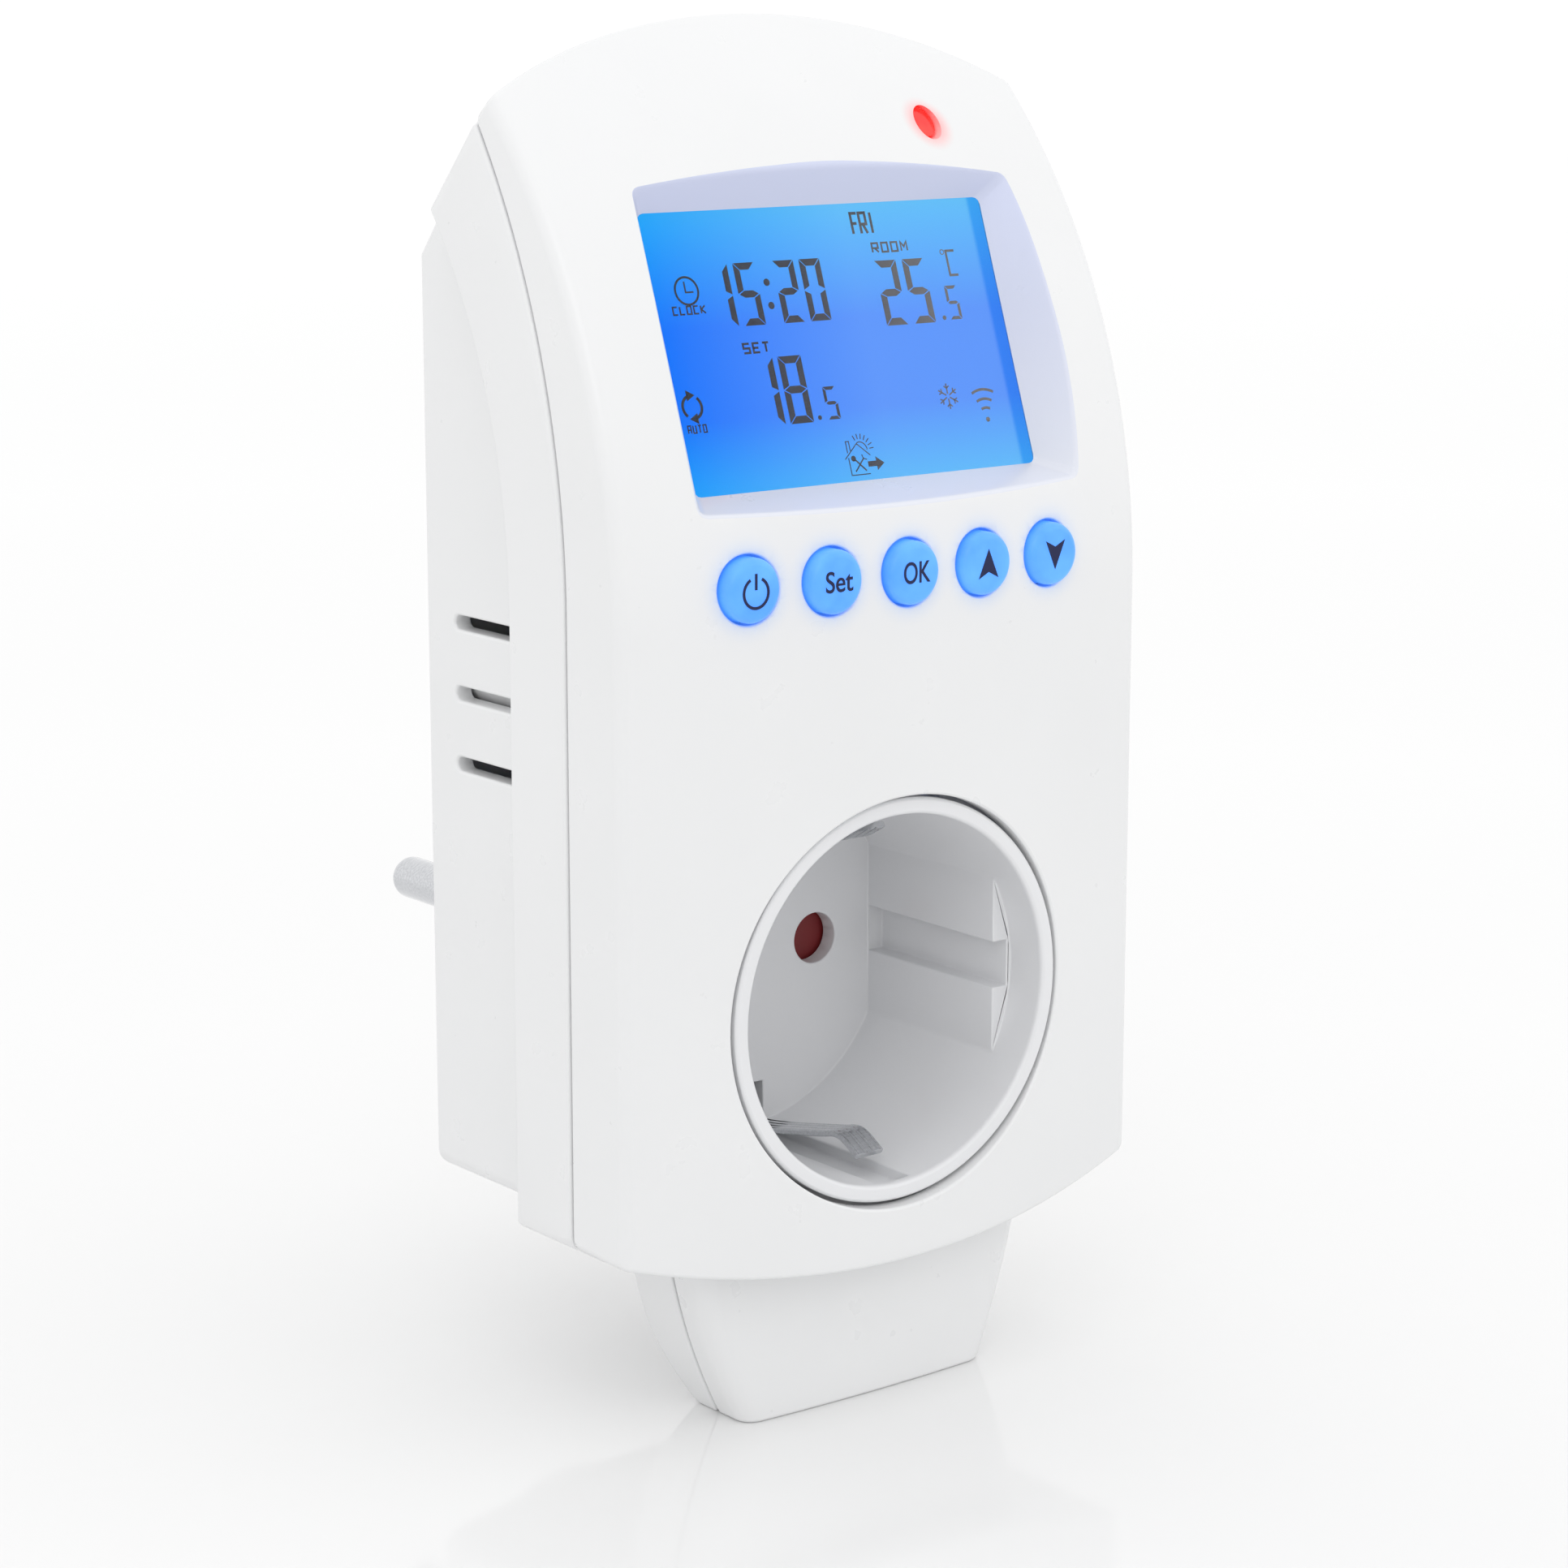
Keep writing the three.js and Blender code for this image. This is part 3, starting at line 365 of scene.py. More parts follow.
def top_limit(inset, tag):
    """The limit that the top face sets: an arch pushed back and down along the top slope."""
    lowered = inset * math.hypot(1, TOP_SLOPE)
    outline = arch_outline(
        CASE_HALF_WIDTH - inset, TOP_ARCH["apex"] - lowered, TOP_ARCH["radius"] - inset, 1
    )
    rings = []
    for y in (IN_FRONT_Y, BEHIND_Y):
        rings.append([(x, y, z - (y - TOP_ARCH_Y) * TOP_SLOPE) for x, z in outline])
    return solid(rings, tag)


def body_blank(inset, tag=OUTER):
    right = half_section(inset)
    section = right + [(-x, height) for x, height in reversed(right[1:])]
    rings = []
    for y, z, angle in lean_stations():
        out = (-math.cos(angle), math.sin(angle))
        rings.append([(x, y + height * out[0], z + height * out[1]) for x, height in section])
    rear = in_front_of(
        BAND_REAR["y"] - inset, BAND_REAR["start_z"], BAND_REAR["radius"] + inset, BAND_REAR["top_z"]
    )
    bottom = arch_outline(
        CASE_HALF_WIDTH - inset, BOTTOM_ARCH["apex"] + inset, BOTTOM_ARCH["radius"] - inset, -1
    )
    for polygon in rear.data.polygons:
        polygon.material_index = tag
    limits = (rear, top_limit(inset, tag), prism_y(bottom, (IN_FRONT_Y, BEHIND_Y), tag))
    return within(solid(rings, tag), *limits)


def box_blank(inset, tag=OUTER):
    back_y = BOX_BACK_Y - inset
    back_z = BOX_TOP_BACK_Z + inset * (math.tan(BOX_SLOPE) - 1 / math.cos(BOX_SLOPE))
    front_z = back_z + back_y * math.tan(BOX_SLOPE)
    half_width = BOX_HALF_WIDTH - inset
    side = [(0, -FAR), (back_y, -FAR), (back_y, back_z), (0, front_z)]
    top = arch_outline(half_width, BOX_TOP_ARCH["apex"] - inset, BOX_TOP_ARCH["radius"] - inset, 1)
    bottom = arch_outline(
        half_width, BOX_BOTTOM_ARCH["apex"] + inset, BOX_BOTTOM_ARCH["radius"] - inset, -1
    )
    blank = prism_x(side, (-half_width, half_width), tag)
    blank = within(blank, prism_y(top, (0, BEHIND_Y), tag), prism_y(bottom, (0, BEHIND_Y), tag))
    return without(blank, seam_at(BOX_BEHIND_SEAM))


def foot_blank(inset, tag=OUTER):
    """A level section that narrows downwards along an arc, its back coming forward near the bottom."""
    reach = FOOT_HALF_WIDTH - FOOT_CORNER
    depth = FOOT_BACK_Y - FOOT_FRONT_Y
    front = [(x, FOOT_CROWN * (x / FOOT_HALF_WIDTH) ** 2) for x in spread(-reach, reach, 16)]
    corner = arc(reach, FOOT_CORNER + FOOT_CROWN, FOOT_CORNER, -math.pi / 2, 0, 6)[1:]
    back_reach = (FOOT_HALF_WIDTH - FOOT_BACK_CORNER, depth - FOOT_BACK_CORNER)
    back = arc(*back_reach, FOOT_BACK_CORNER, 0, math.pi / 2, 4)
    left = [(-x, y) for x, y in reversed([*corner, *back])]
    section = [*front, *corner, *back, *left]
    rings = []
    for z in spread(FOOT_BOTTOM_Z + inset, FOOT_TOP_Z, 18):
        drop = FOOT_SIDE_RADIUS - math.sqrt(FOOT_SIDE_RADIUS**2 - (z - FOOT_SIDE_Z) ** 2)
        scale_x = (FOOT_HALF_WIDTH - drop - inset) / FOOT_HALF_WIDTH
        low = max(FOOT_ROUND_Z - z, 0) / (FOOT_ROUND_Z - FOOT_BOTTOM_Z)
        start = FOOT_FRONT_Y + inset
        scale_y = (FOOT_BACK_Y - FOOT_BACK_ROUND * low**2 - inset - start) / depth
        rings.append([(x * scale_x, start + y * scale_y, z) for x, y in section])
    return solid(rings, tag)


def case_blank(inset, tag=OUTER):
    return joined(body_blank(inset, tag), box_blank(inset, tag), foot_blank(inset, tag))


# ---- easing edges and finishing -------------------------------------------------------------------------


def sharp_edges(edit, degrees):
    """Edges of the outside skin where two faces meet at more than the given angle."""
    limit = math.radians(degrees)
    found = []
    for edge in edit.edges:
        if len(edge.link_faces) != 2:
            continue
        if all(face.material_index == OUTER for face in edge.link_faces) and edge.calc_face_angle(0) > limit:
            found.append(edge)
    return found


def weld_beside(edit, edges, reach):
    """Merges stray points close beside the sharp edges into them, so that easing has clean strips to use."""
    kept = list({vert for edge in edges for vert in edge.verts})
    tree = KDTree(len(kept))
    for i, vert in enumerate(kept):
        tree.insert(vert.co, i)
    tree.balance()
    on_edge = set(kept)
    targets = {}
    for vert in edit.verts:
        if vert in on_edge:
            continue
        _, nearest, distance = tree.find(vert.co)
        if distance < reach:
            targets[vert] = kept[nearest]
    bmesh.ops.weld_verts(edit, targetmap=targets)


def eased(made, width, degrees=25, segments=3, reach=1.3):
    """Rounds the outside edges of a solid by a real bevel."""
    edit = bmesh.new()
    edit.from_mesh(made.data)
    bmesh.ops.remove_doubles(edit, verts=edit.verts, dist=0.005)
    bmesh.ops.dissolve_degenerate(edit, dist=0.002, edges=edit.edges)
    edges = sharp_edges(edit, degrees)
    corners = {vert for edge in edges for vert in edge.verts}
    bmesh.ops.remove_doubles(edit, verts=list(corners), dist=width * 0.4)
    weld_beside(edit, sharp_edges(edit, degrees), width * reach)
    bmesh.ops.dissolve_degenerate(edit, dist=0.002, edges=edit.edges)
    bmesh.ops.connect_verts_concave(edit, faces=edit.faces)
    bmesh.ops.bevel(
        edit, geom=sharp_edges(edit, degrees), offset=width, segments=segments, profile=0.5,
        affect="EDGES", offset_type="OFFSET", clamp_overlap=False, loop_slide=False,
    )
    edit.to_mesh(made.data)
    edit.free()
    return made


def finished(made, name, body, material, smooth=40, lit=None):
    """Names a solid, moves it into the row frame, shades it and puts it on its body."""
    made.name = name
    made.data.name = name
    made.data.transform(TO_ROW)
    tags = [polygon.material_index for polygon in made.data.polygons]
    made.data.materials.clear()
    made.data.materials.append(material)
    if lit:
        made.data.materials.append(lit)
    for polygon, tag in zip(made.data.polygons, tags):
        polygon.material_index = 1 if lit and tag == LIT else 0
    made.data.shade_smooth()
    made.data.set_sharp_from_angle(angle=math.radians(smooth))
    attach(made, body)
    return made


def weighted(made):
    """Keeps the large faces flat in the shading and leaves the turn to the eased edges."""
    modifier = made.modifiers.new("weighted_normals", "WEIGHTED_NORMAL")
    modifier.keep_sharp = True
    modifier.weight = 80
    return made


# ---- materials ------------------------------------------------------------------------------------------


def new_material(name):
    material = bpy.data.materials.new(name)
    material.use_nodes = True
    tree = material.node_tree
    return material, tree, tree.nodes["Principled BSDF"]


def ramp_node(tree, stops, factor):
    node = tree.nodes.new("ShaderNodeValToRGB")
    while len(node.color_ramp.elements) < len(stops):
        node.color_ramp.elements.new(0.5)
    for element, (place, colour) in zip(node.color_ramp.elements, stops):
        element.position = place
        element.color = (*colour, 1)
    tree.links.new(factor, node.inputs["Fac"])
    return node


def noise_node(tree, scale, detail=4.0, stretch=None):
    place = tree.nodes.new("ShaderNodeTexCoord")
    noise = tree.nodes.new("ShaderNodeTexNoise")
    noise.inputs["Scale"].default_value = scale
    noise.inputs["Detail"].default_value = detail
    source = place.outputs["Object"]
    if stretch:
        mapping = tree.nodes.new("ShaderNodeMapping")
        mapping.inputs["Scale"].default_value = stretch
        tree.links.new(source, mapping.inputs["Vector"])
        source = mapping.outputs["Vector"]
    tree.links.new(source, noise.inputs["Vector"])
    return noise


def map_node(tree, value, low, high):
    node = tree.nodes.new("ShaderNodeMapRange")
    node.inputs["To Min"].default_value = low
    node.inputs["To Max"].default_value = high
    tree.links.new(value, node.inputs["Value"])
    return node.outputs["Result"]


def bump_from(tree, shader, height, strength, distance):
    bump = tree.nodes.new("ShaderNodeBump")
    bump.inputs["Strength"].default_value = strength
    bump.inputs["Distance"].default_value = distance
    tree.links.new(height, bump.inputs["Height"])
    tree.links.new(bump.outputs["Normal"], shader.inputs["Normal"])


def plastic(name, dark, light, roughness, grain=2600.0, bump=0.02, coat=0.0):
    """Moulded plastic: a faint flow mottling, a fine spark-eroded grain and uneven gloss."""
    material, tree, shader = new_material(name)
    flow = noise_node(tree, 45.0, 3.0)
    ramp = ramp_node(tree, [(0.3, dark), (0.7, light)], flow.outputs["Fac"])
    tree.links.new(ramp.outputs["Color"], shader.inputs["Base Color"])
    gloss = noise_node(tree, 260.0, 5.0)
    rough = map_node(tree, gloss.outputs["Fac"], roughness * 0.94, roughness * 1.06)
    tree.links.new(rough, shader.inputs["Roughness"])
    fine = noise_node(tree, grain, 2.0)
    bump_from(tree, shader, fine.outputs["Fac"], bump, 0.00002)
    shader.inputs["Coat Weight"].default_value = coat
    shader.inputs["Coat Roughness"].default_value = 0.12
    return material


def metal(name, dark, light, roughness, stretch=(1.0, 40.0, 40.0)):
    """Plated or pressed metal with drawing lines along it."""
    material, tree, shader = new_material(name)
    shader.inputs["Metallic"].default_value = 1.0
    lines = noise_node(tree, 90.0, 4.0, stretch)
    ramp = ramp_node(tree, [(0.35, dark), (0.65, light)], lines.outputs["Fac"])
    tree.links.new(ramp.outputs["Color"], shader.inputs["Base Color"])
    rough = map_node(tree, lines.outputs["Fac"], roughness * 0.8, roughness * 1.25)
    tree.links.new(rough, shader.inputs["Roughness"])
    bump_from(tree, shader, lines.outputs["Fac"], 0.015, 0.00002)
    return material


def board(name):
    """Circuit board: green lacquer over a maze of copper tracks."""
    material, tree, shader = new_material(name)
    place = tree.nodes.new("ShaderNodeTexCoord")
    tracks = tree.nodes.new("ShaderNodeTexVoronoi")
    tracks.feature = "DISTANCE_TO_EDGE"
    tracks.distance = "MANHATTAN"
    tracks.inputs["Scale"].default_value = 420.0
    tree.links.new(place.outputs["Object"], tracks.inputs["Vector"])
    stops = [(0.0, (0.02, 0.16, 0.06)), (0.08, (0.03, 0.22, 0.08)), (0.16, (0.01, 0.09, 0.03))]
    ramp = ramp_node(tree, stops, tracks.outputs["Distance"])
    tree.links.new(ramp.outputs["Color"], shader.inputs["Base Color"])
    rough = map_node(tree, tracks.outputs["Distance"], 0.25, 0.45)
    tree.links.new(rough, shader.inputs["Roughness"])
    bump_from(tree, shader, tracks.outputs["Distance"], 0.2, 0.0001)
    return material


def glowing(name, dark, light, roughness, strength, scale=300.0):
    """A translucent moulding lit from behind."""
    material, tree, shader = new_material(name)
    cloud = noise_node(tree, scale, 2.0)
    ramp = ramp_node(tree, [(0.3, dark), (0.7, light)], cloud.outputs["Fac"])
    tree.links.new(ramp.outputs["Color"], shader.inputs["Base Color"])
    tree.links.new(ramp.outputs["Color"], shader.inputs["Emission Color"])
    shader.inputs["Emission Strength"].default_value = strength
    rough = map_node(tree, cloud.outputs["Fac"], roughness * 0.8, roughness * 1.2)
    tree.links.new(rough, shader.inputs["Roughness"])
    return material


def case_material():
    """White glossy plastic, tinted faintly round its holes as painted light: a red glow round the lamp's hole, and
    round each lit button's hole a grey-blue ring that paints both the button's glow and the shade about it.
    """
    material = plastic("case_white", (0.835, 0.84, 0.845), (0.85, 0.855, 0.86), 0.28, 1500.0, 0.007, 0.25)
    tree = material.node_tree
    shader = tree.nodes["Principled BSDF"]
    base = shader.inputs["Base Color"].links[0].from_socket
    place = tree.nodes.new("ShaderNodeTexCoord")
    led_x, led_z = LED_PLACE
    # Painted halos as (centre, reach, tint): a red glow round the lamp, and a grey-blue ring of glow and shade round
    # each button.
    painted_halos = [((led_x, front_y(led_x, led_z), led_z), 3.6, (1.0, 0.42, 0.42))]
    for i in range(len(BUTTON_NAMES)):
        x = button_x(i)
        painted_halos.append(((x, front_y(x, BUTTON_Z), BUTTON_Z), 5.6, (0.66, 0.76, 0.9)))
    for centre, reach, tint in painted_halos:
        distance = tree.nodes.new("ShaderNodeVectorMath")
        distance.operation = "DISTANCE"
        distance.inputs[1].default_value = TO_ROW @ Vector(centre)
        tree.links.new(place.outputs["Object"], distance.inputs[0])
        fade = tree.nodes.new("ShaderNodeMapRange")
        fade.interpolation_type = "SMOOTHSTEP"
        fade.inputs["From Min"].default_value = reach * 0.4 * MM
        fade.inputs["From Max"].default_value = reach * MM
        fade.inputs["To Min"].default_value = 0.75
        fade.inputs["To Max"].default_value = 0.0
        tree.links.new(distance.outputs["Value"], fade.inputs["Value"])
        mix = tree.nodes.new("ShaderNodeMix")
        mix.data_type = "RGBA"
        tree.links.new(fade.outputs["Result"], mix.inputs["Factor"])
        tree.links.new(base, mix.inputs["A"])
        mix.inputs["B"].default_value = (*tint, 1)
        base = mix.outputs["Result"]
    tree.links.new(base, shader.inputs["Base Color"])
    return material


LCD_DEEP = (0.0, 0.18, 1.0)
LCD_PALE = (0.14, 0.35, 1.0)
LCD_CYAN = (0.01, 0.42, 1.0)
LCD_PALE_CYAN = (0.15, 0.6, 1.0)
LCD_PALE_FROM = 0.6                # the share of the width over which the display pales, partly the backlight and partly a painted reflection
LCD_BLUE_BAND = (0.3, 0.6)         # the shares of the height between which there is no cyan
LCD_SHADE_FROM = 0.96              # beyond this the right edge lies in the frame's shade


def lcd_across(tree, left, right, along):
    """Colours across the display: from left to right, with the strip in shade at the far edge."""
    shaded = tuple(channel * share for channel, share in zip(right, (0.35, 0.7, 0.95)))
    stops = [(0.0, left), (LCD_PALE_FROM, right), (LCD_SHADE_FROM, right), (LCD_SHADE_FROM + 0.01, shaded)]
    return ramp_node(tree, stops, along)


def lcd_material():
    """Backlit display: deep blue at the left, paler at the right, cyan along the top and bottom. The paling to the
    right is partly the backlight's own and partly a painted reflection on the pane.
    """
    material, tree, shader = new_material("lcd_blue")
    place = tree.nodes.new("ShaderNodeTexCoord")
    axes = tree.nodes.new("ShaderNodeSeparateXYZ")
    tree.links.new(place.outputs["Generated"], axes.inputs["Vector"])
    along_middle = lcd_across(tree, LCD_DEEP, LCD_PALE, axes.outputs["X"])
    along_edge = lcd_across(tree, LCD_CYAN, LCD_PALE_CYAN, axes.outputs["X"])
    edge, middle = (1, 1, 1), (0, 0, 0)
    low, high = LCD_BLUE_BAND
    fade = ramp_node(tree, [(0.0, edge), (low, middle), (high, middle), (1.0, edge)], axes.outputs["Z"])
    mix = tree.nodes.new("ShaderNodeMix")
    mix.data_type = "RGBA"
    tree.links.new(fade.outputs["Color"], mix.inputs["Factor"])
    tree.links.new(along_middle.outputs["Color"], mix.inputs["A"])
    tree.links.new(along_edge.outputs["Color"], mix.inputs["B"])
    tree.links.new(mix.outputs["Result"], shader.inputs["Emission Color"])
    shader.inputs["Base Color"].default_value = (0.0005, 0.01, 0.08, 1)
    shader.inputs["Emission Strength"].default_value = 0.9
    shader.inputs["Roughness"].default_value = 0.5
    shader.inputs["Specular IOR Level"].default_value = 0.0
    return material


def lit_wall_material():
    """The white plastic of the display's opening, tinted by the display's light and more so towards the top."""
    material = plastic("case_lit", (0.8, 0.82, 0.87), (0.8, 0.82, 0.87), 0.28, 1500.0, 0.007, 0.25)
    tree = material.node_tree
    place = tree.nodes.new("ShaderNodeTexCoord")
    axes = tree.nodes.new("ShaderNodeSeparateXYZ")
    tree.links.new(place.outputs["Object"], axes.inputs["Vector"])
    height = tree.nodes.new("ShaderNodeMapRange")
    height.inputs["From Min"].default_value = (DISPLAY_CENTRE[2] - WINDOW_HALF[1]) * MM
    height.inputs["From Max"].default_value = (DISPLAY_CENTRE[2] + WINDOW_HALF[1]) * MM
    tree.links.new(axes.outputs["Z"], height.inputs["Value"])
    ramp = ramp_node(tree, [(0.0, (0.78, 0.8, 0.87)), (1.0, (0.64, 0.68, 0.86))], height.outputs["Result"])
    tree.links.new(ramp.outputs["Color"], tree.nodes["Principled BSDF"].inputs["Base Color"])
    return material


def ink_material():
    """The display's dark segments, which pale towards the right as the display does, by a painted reflection."""
    material, tree, shader = new_material("display_ink")
    place = tree.nodes.new("ShaderNodeTexCoord")
    axes = tree.nodes.new("ShaderNodeSeparateXYZ")
    tree.links.new(place.outputs["Generated"], axes.inputs["Vector"])
    # Painted reflection: the segments go from near black at the left to grey at the right.
    stops = [(0.0, (0.022, 0.023, 0.034)), (0.45, (0.05, 0.052, 0.07)), (1.0, (0.21, 0.20, 0.20))]
    ramp = ramp_node(tree, stops, axes.outputs["X"])
    tree.links.new(ramp.outputs["Color"], shader.inputs["Base Color"])
    cloud = noise_node(tree, 400.0, 2.0)
    rough = map_node(tree, cloud.outputs["Fac"], 0.45, 0.55)
    tree.links.new(rough, shader.inputs["Roughness"])
    return material


def window_material():
    """Clear acrylic pane."""
    material, tree, shader = new_material("clear_window")
    haze = noise_node(tree, 30.0, 2.0)
    rough = map_node(tree, haze.outputs["Fac"], 0.01, 0.04)
    tree.links.new(rough, shader.inputs["Roughness"])
    shader.inputs["Base Color"].default_value = (0.97, 0.985, 1.0, 1)
    shader.inputs["Transmission Weight"].default_value = 1.0
    shader.inputs["IOR"].default_value = 1.06
    return material


def button_x(i):
    return (i - 2) * BUTTON_PITCH


WHITE = case_material()
LIT_WHITE = lit_wall_material()
# The socket's moulding is the case's white plastic; its base colour is greyed a little as painted shade for the deep
# recess, and the rim shares it.
SOCKET_SHADED_WHITE = plastic("socket_grey", (0.80, 0.805, 0.82), (0.82, 0.825, 0.84), 0.3, bump=0.01, coat=0.15)
INNER_PLASTIC = plastic("inner_plastic", (0.66, 0.66, 0.63), (0.72, 0.72, 0.69), 0.5)
SHUTTER_RED = plastic("shutter_red", (0.20, 0.018, 0.02), (0.25, 0.025, 0.027), 0.4)
NICKEL = metal("nickel", (0.55, 0.56, 0.58), (0.66, 0.67, 0.69), 0.09)
BRASS = metal("brass", (0.50, 0.34, 0.10), (0.62, 0.44, 0.15), 0.28)
STEEL = metal("steel", (0.36, 0.37, 0.39), (0.46, 0.47, 0.49), 0.32)
BOARD = board("board_green")
CHIP = plastic("chip_black", (0.012, 0.012, 0.013), (0.02, 0.02, 0.022), 0.5)
RELAY = plastic("relay_blue", (0.02, 0.07, 0.30), (0.03, 0.10, 0.38), 0.35)
CAPACITOR = plastic("capacitor_yellow", (0.60, 0.38, 0.06), (0.70, 0.46, 0.09), 0.45)
CAN = plastic("can_blue", (0.015, 0.03, 0.12), (0.025, 0.045, 0.16), 0.3)
BROWN = plastic("live_brown", (0.13, 0.045, 0.015), (0.17, 0.06, 0.02), 0.5)
BLUE = plastic("neutral_blue", (0.02, 0.10, 0.42), (0.03, 0.14, 0.50), 0.5)
LEAD_GREY = plastic("lead_grey", (0.22, 0.23, 0.25), (0.28, 0.29, 0.31), 0.6)
RUBBER = plastic("rubber", (0.035, 0.035, 0.038), (0.05, 0.05, 0.053), 0.8)
LIGHT_GUIDE = glowing("light_guide", (0.85, 0.92, 1.0), (0.95, 0.98, 1.0), 0.4, 0.3)
BUTTON_BLUE = glowing("button_blue", (0.07, 0.29, 0.95), (0.10, 0.36, 1.0), 0.35, 0.42)
LED_RED = glowing("led_red", (0.9, 0.012, 0.01), (1.0, 0.03, 0.02), 0.2, 1.0)
WINDOW = window_material()
LCD_BLUE = lcd_material()
INK = ink_material()
SYMBOL_INK = plastic("symbol_ink", (0.001, 0.004, 0.05), (0.002, 0.008, 0.07), 0.6)

CARRIED_OVER = {
    "case_screw_1": STEEL, "case_screw_2": STEEL, "case_screw_3": STEEL, "case_screw_4": STEEL,
    "safety_shutter": SHUTTER_RED, "shutter_spring": STEEL, "shutter_carrier": INNER_PLASTIC,
    "live_contact": BRASS, "neutral_contact": BRASS, "earth_bridge": BRASS, "neutral_link": BRASS,
    "plug_earth_strip_top": NICKEL, "plug_earth_strip_bottom": NICKEL,
    "live_lead_in": BROWN, "live_lead_out": BROWN, "neutral_lead": BLUE, "power_board": BOARD,
    "relay": RELAY, "dropper_capacitor": CAPACITOR, "smoothing_capacitor": CAN, "fuse": BROWN,
    "varistor": BLUE, "board_lead": LEAD_GREY, "display_backlight": LIGHT_GUIDE,
    "lcd_connector": RUBBER, "display_frame": INNER_PLASTIC, "display_board": BOARD,
    "microcontroller": CHIP, "backup_battery": NICKEL, "button_board": BOARD,
    "button_board_lead": LEAD_GREY, "temperature_sensor": CHIP, "sensor_lead": LEAD_GREY,
}
for button_name in BUTTON_NAMES:
    CARRIED_OVER[f"plunger_{button_name}"] = CHIP
    CARRIED_OVER[f"switch_{button_name}"] = STEEL

for node_name, node_material in CARRIED_OVER.items():
    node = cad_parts[node_name]
    node.data.materials.clear()
    node.data.materials.append(node_material)
    rounding = node.modifiers.new("rounding", "BEVEL")
    rounding.width = 0.1 * MM
    rounding.segments = 2
    rounding.limit_method = "ANGLE"
    rounding.angle_limit = math.radians(40)

# ---- case shells ----------------------------------------------------------------------------------------


def front_meeting(wall):
    """How far out along a straight line, given as a function of its depth, the line meets the front."""
    inside, outside = 0.0, FLARE_W[1]
    for _ in range(30):
        middle = (inside + outside) / 2
        point = wall(middle)
        if point.y > front_y(point.x, point.z):
            inside = middle
        else:
            outside = middle
    return inside


def flare_profile(u, v, out, ease=0.4):
    """One section of the display's opening: up the sloping wall and out over the front by a rounded rim."""
    half_u, half_v = WINDOW_HALF
    right_slope = FLARE_RIGHT + FLARE_RIGHT_AT_TOP * max(v / half_v, 0) ** 2
    side_slope = right_slope if u > 0 else FLARE_LEFT
    end_slope = FLARE_TOP if v > 0 else FLARE_BOTTOM

    def wall(w):
        return DISPLAY_TO_CASE @ Vector((u * (1 + side_slope * w / half_u), v * (1 + end_slope * w / half_v), w))

    w_front = front_meeting(wall)
    crest = wall(w_front)
    start = wall(w_front - ease)
    away = (DISPLAY_TO_CASE.to_3x3() @ Vector((*out, 0))) * ease
    end = Vector((crest.x + away.x, front_y(crest.x + away.x, crest.z + away.z), crest.z + away.z))
    points = [wall(w) for w in spread(FLARE_W[0], w_front - ease, 8)[:-1]]
    points += [start * (1 - t)**2 + crest * 2 * t * (1 - t) + end * t * t for t in spread(0, 1, 5)]
    beyond = Vector((end.x + away.x, end.y - ease, end.z + away.z))
    return [*points, beyond, Vector((beyond.x, -30, beyond.z))]


def display_flare():
    """The opening over the display, which widens towards the front."""
    loop = [Vector(point) for point in loop_around(*WINDOW_HALF, FLARE_CORNER)]
    profiles = []
    for i, point in enumerate(loop):
        along = (loop[(i + 1) % len(loop)] - loop[i - 1]).normalized()
        profiles.append(flare_profile(*point, (along.y, -along.x)))
    return solid([list(ring) for ring in zip(*profiles)], LIT)


def loop_around(half_u, half_v, corner):
    """A rounded rectangle as an even run of points, anticlockwise from the middle of its right side."""
    reach_u, reach_v = half_u - corner, half_v - corner
    points = [(half_u, v) for v in spread(0, reach_v, 12)]
    points += arc(reach_u, reach_v, corner, 0, math.pi / 2, 3)[1:]
    points += [(u, half_v) for u in spread(reach_u, -reach_u, 36)[1:]]
    points += arc(-reach_u, reach_v, corner, math.pi / 2, math.pi, 3)[1:]
    points += [(-half_u, v) for v in spread(reach_v, -reach_v, 24)[1:]]
    points += arc(-reach_u, -reach_v, corner, math.pi, math.pi * 1.5, 3)[1:]
    points += [(u, -half_v) for u in spread(-reach_u, reach_u, 36)[1:]]
    points += arc(reach_u, -reach_v, corner, math.pi * 1.5, math.pi * 2, 3)[1:]
    points += [(half_u, v) for v in spread(-reach_v, 0, 12)[1:-1]]
    return points


def mouth(radius, place, back_y, ease, sides):
    """A round hole through the front whose rim is rounded along the curved surface."""
    x, z = place
    turns = spread(0, 2 * math.pi, sides)[:-1]
    rings = [[(x + radius * math.cos(a), back_y, z + radius * math.sin(a)) for a in turns]]
    profile = [(radius + ease * (1 - math.cos(a)), ease * (1 - math.sin(a))) for a in spread(0, 1.35, 5)]
    profile.append((radius + ease * 2, -ease))
    for reach, depth in profile:
        ring = []
        for a in turns:
            at_x, at_z = x + reach * math.cos(a), z + reach * math.sin(a)
            ring.append((at_x, front_y(at_x, at_z) + depth, at_z))
        rings.append(ring)
    rings.append([(at_x, -30, at_z) for at_x, _, at_z in rings[-1]])
    return solid(rings, INNER)


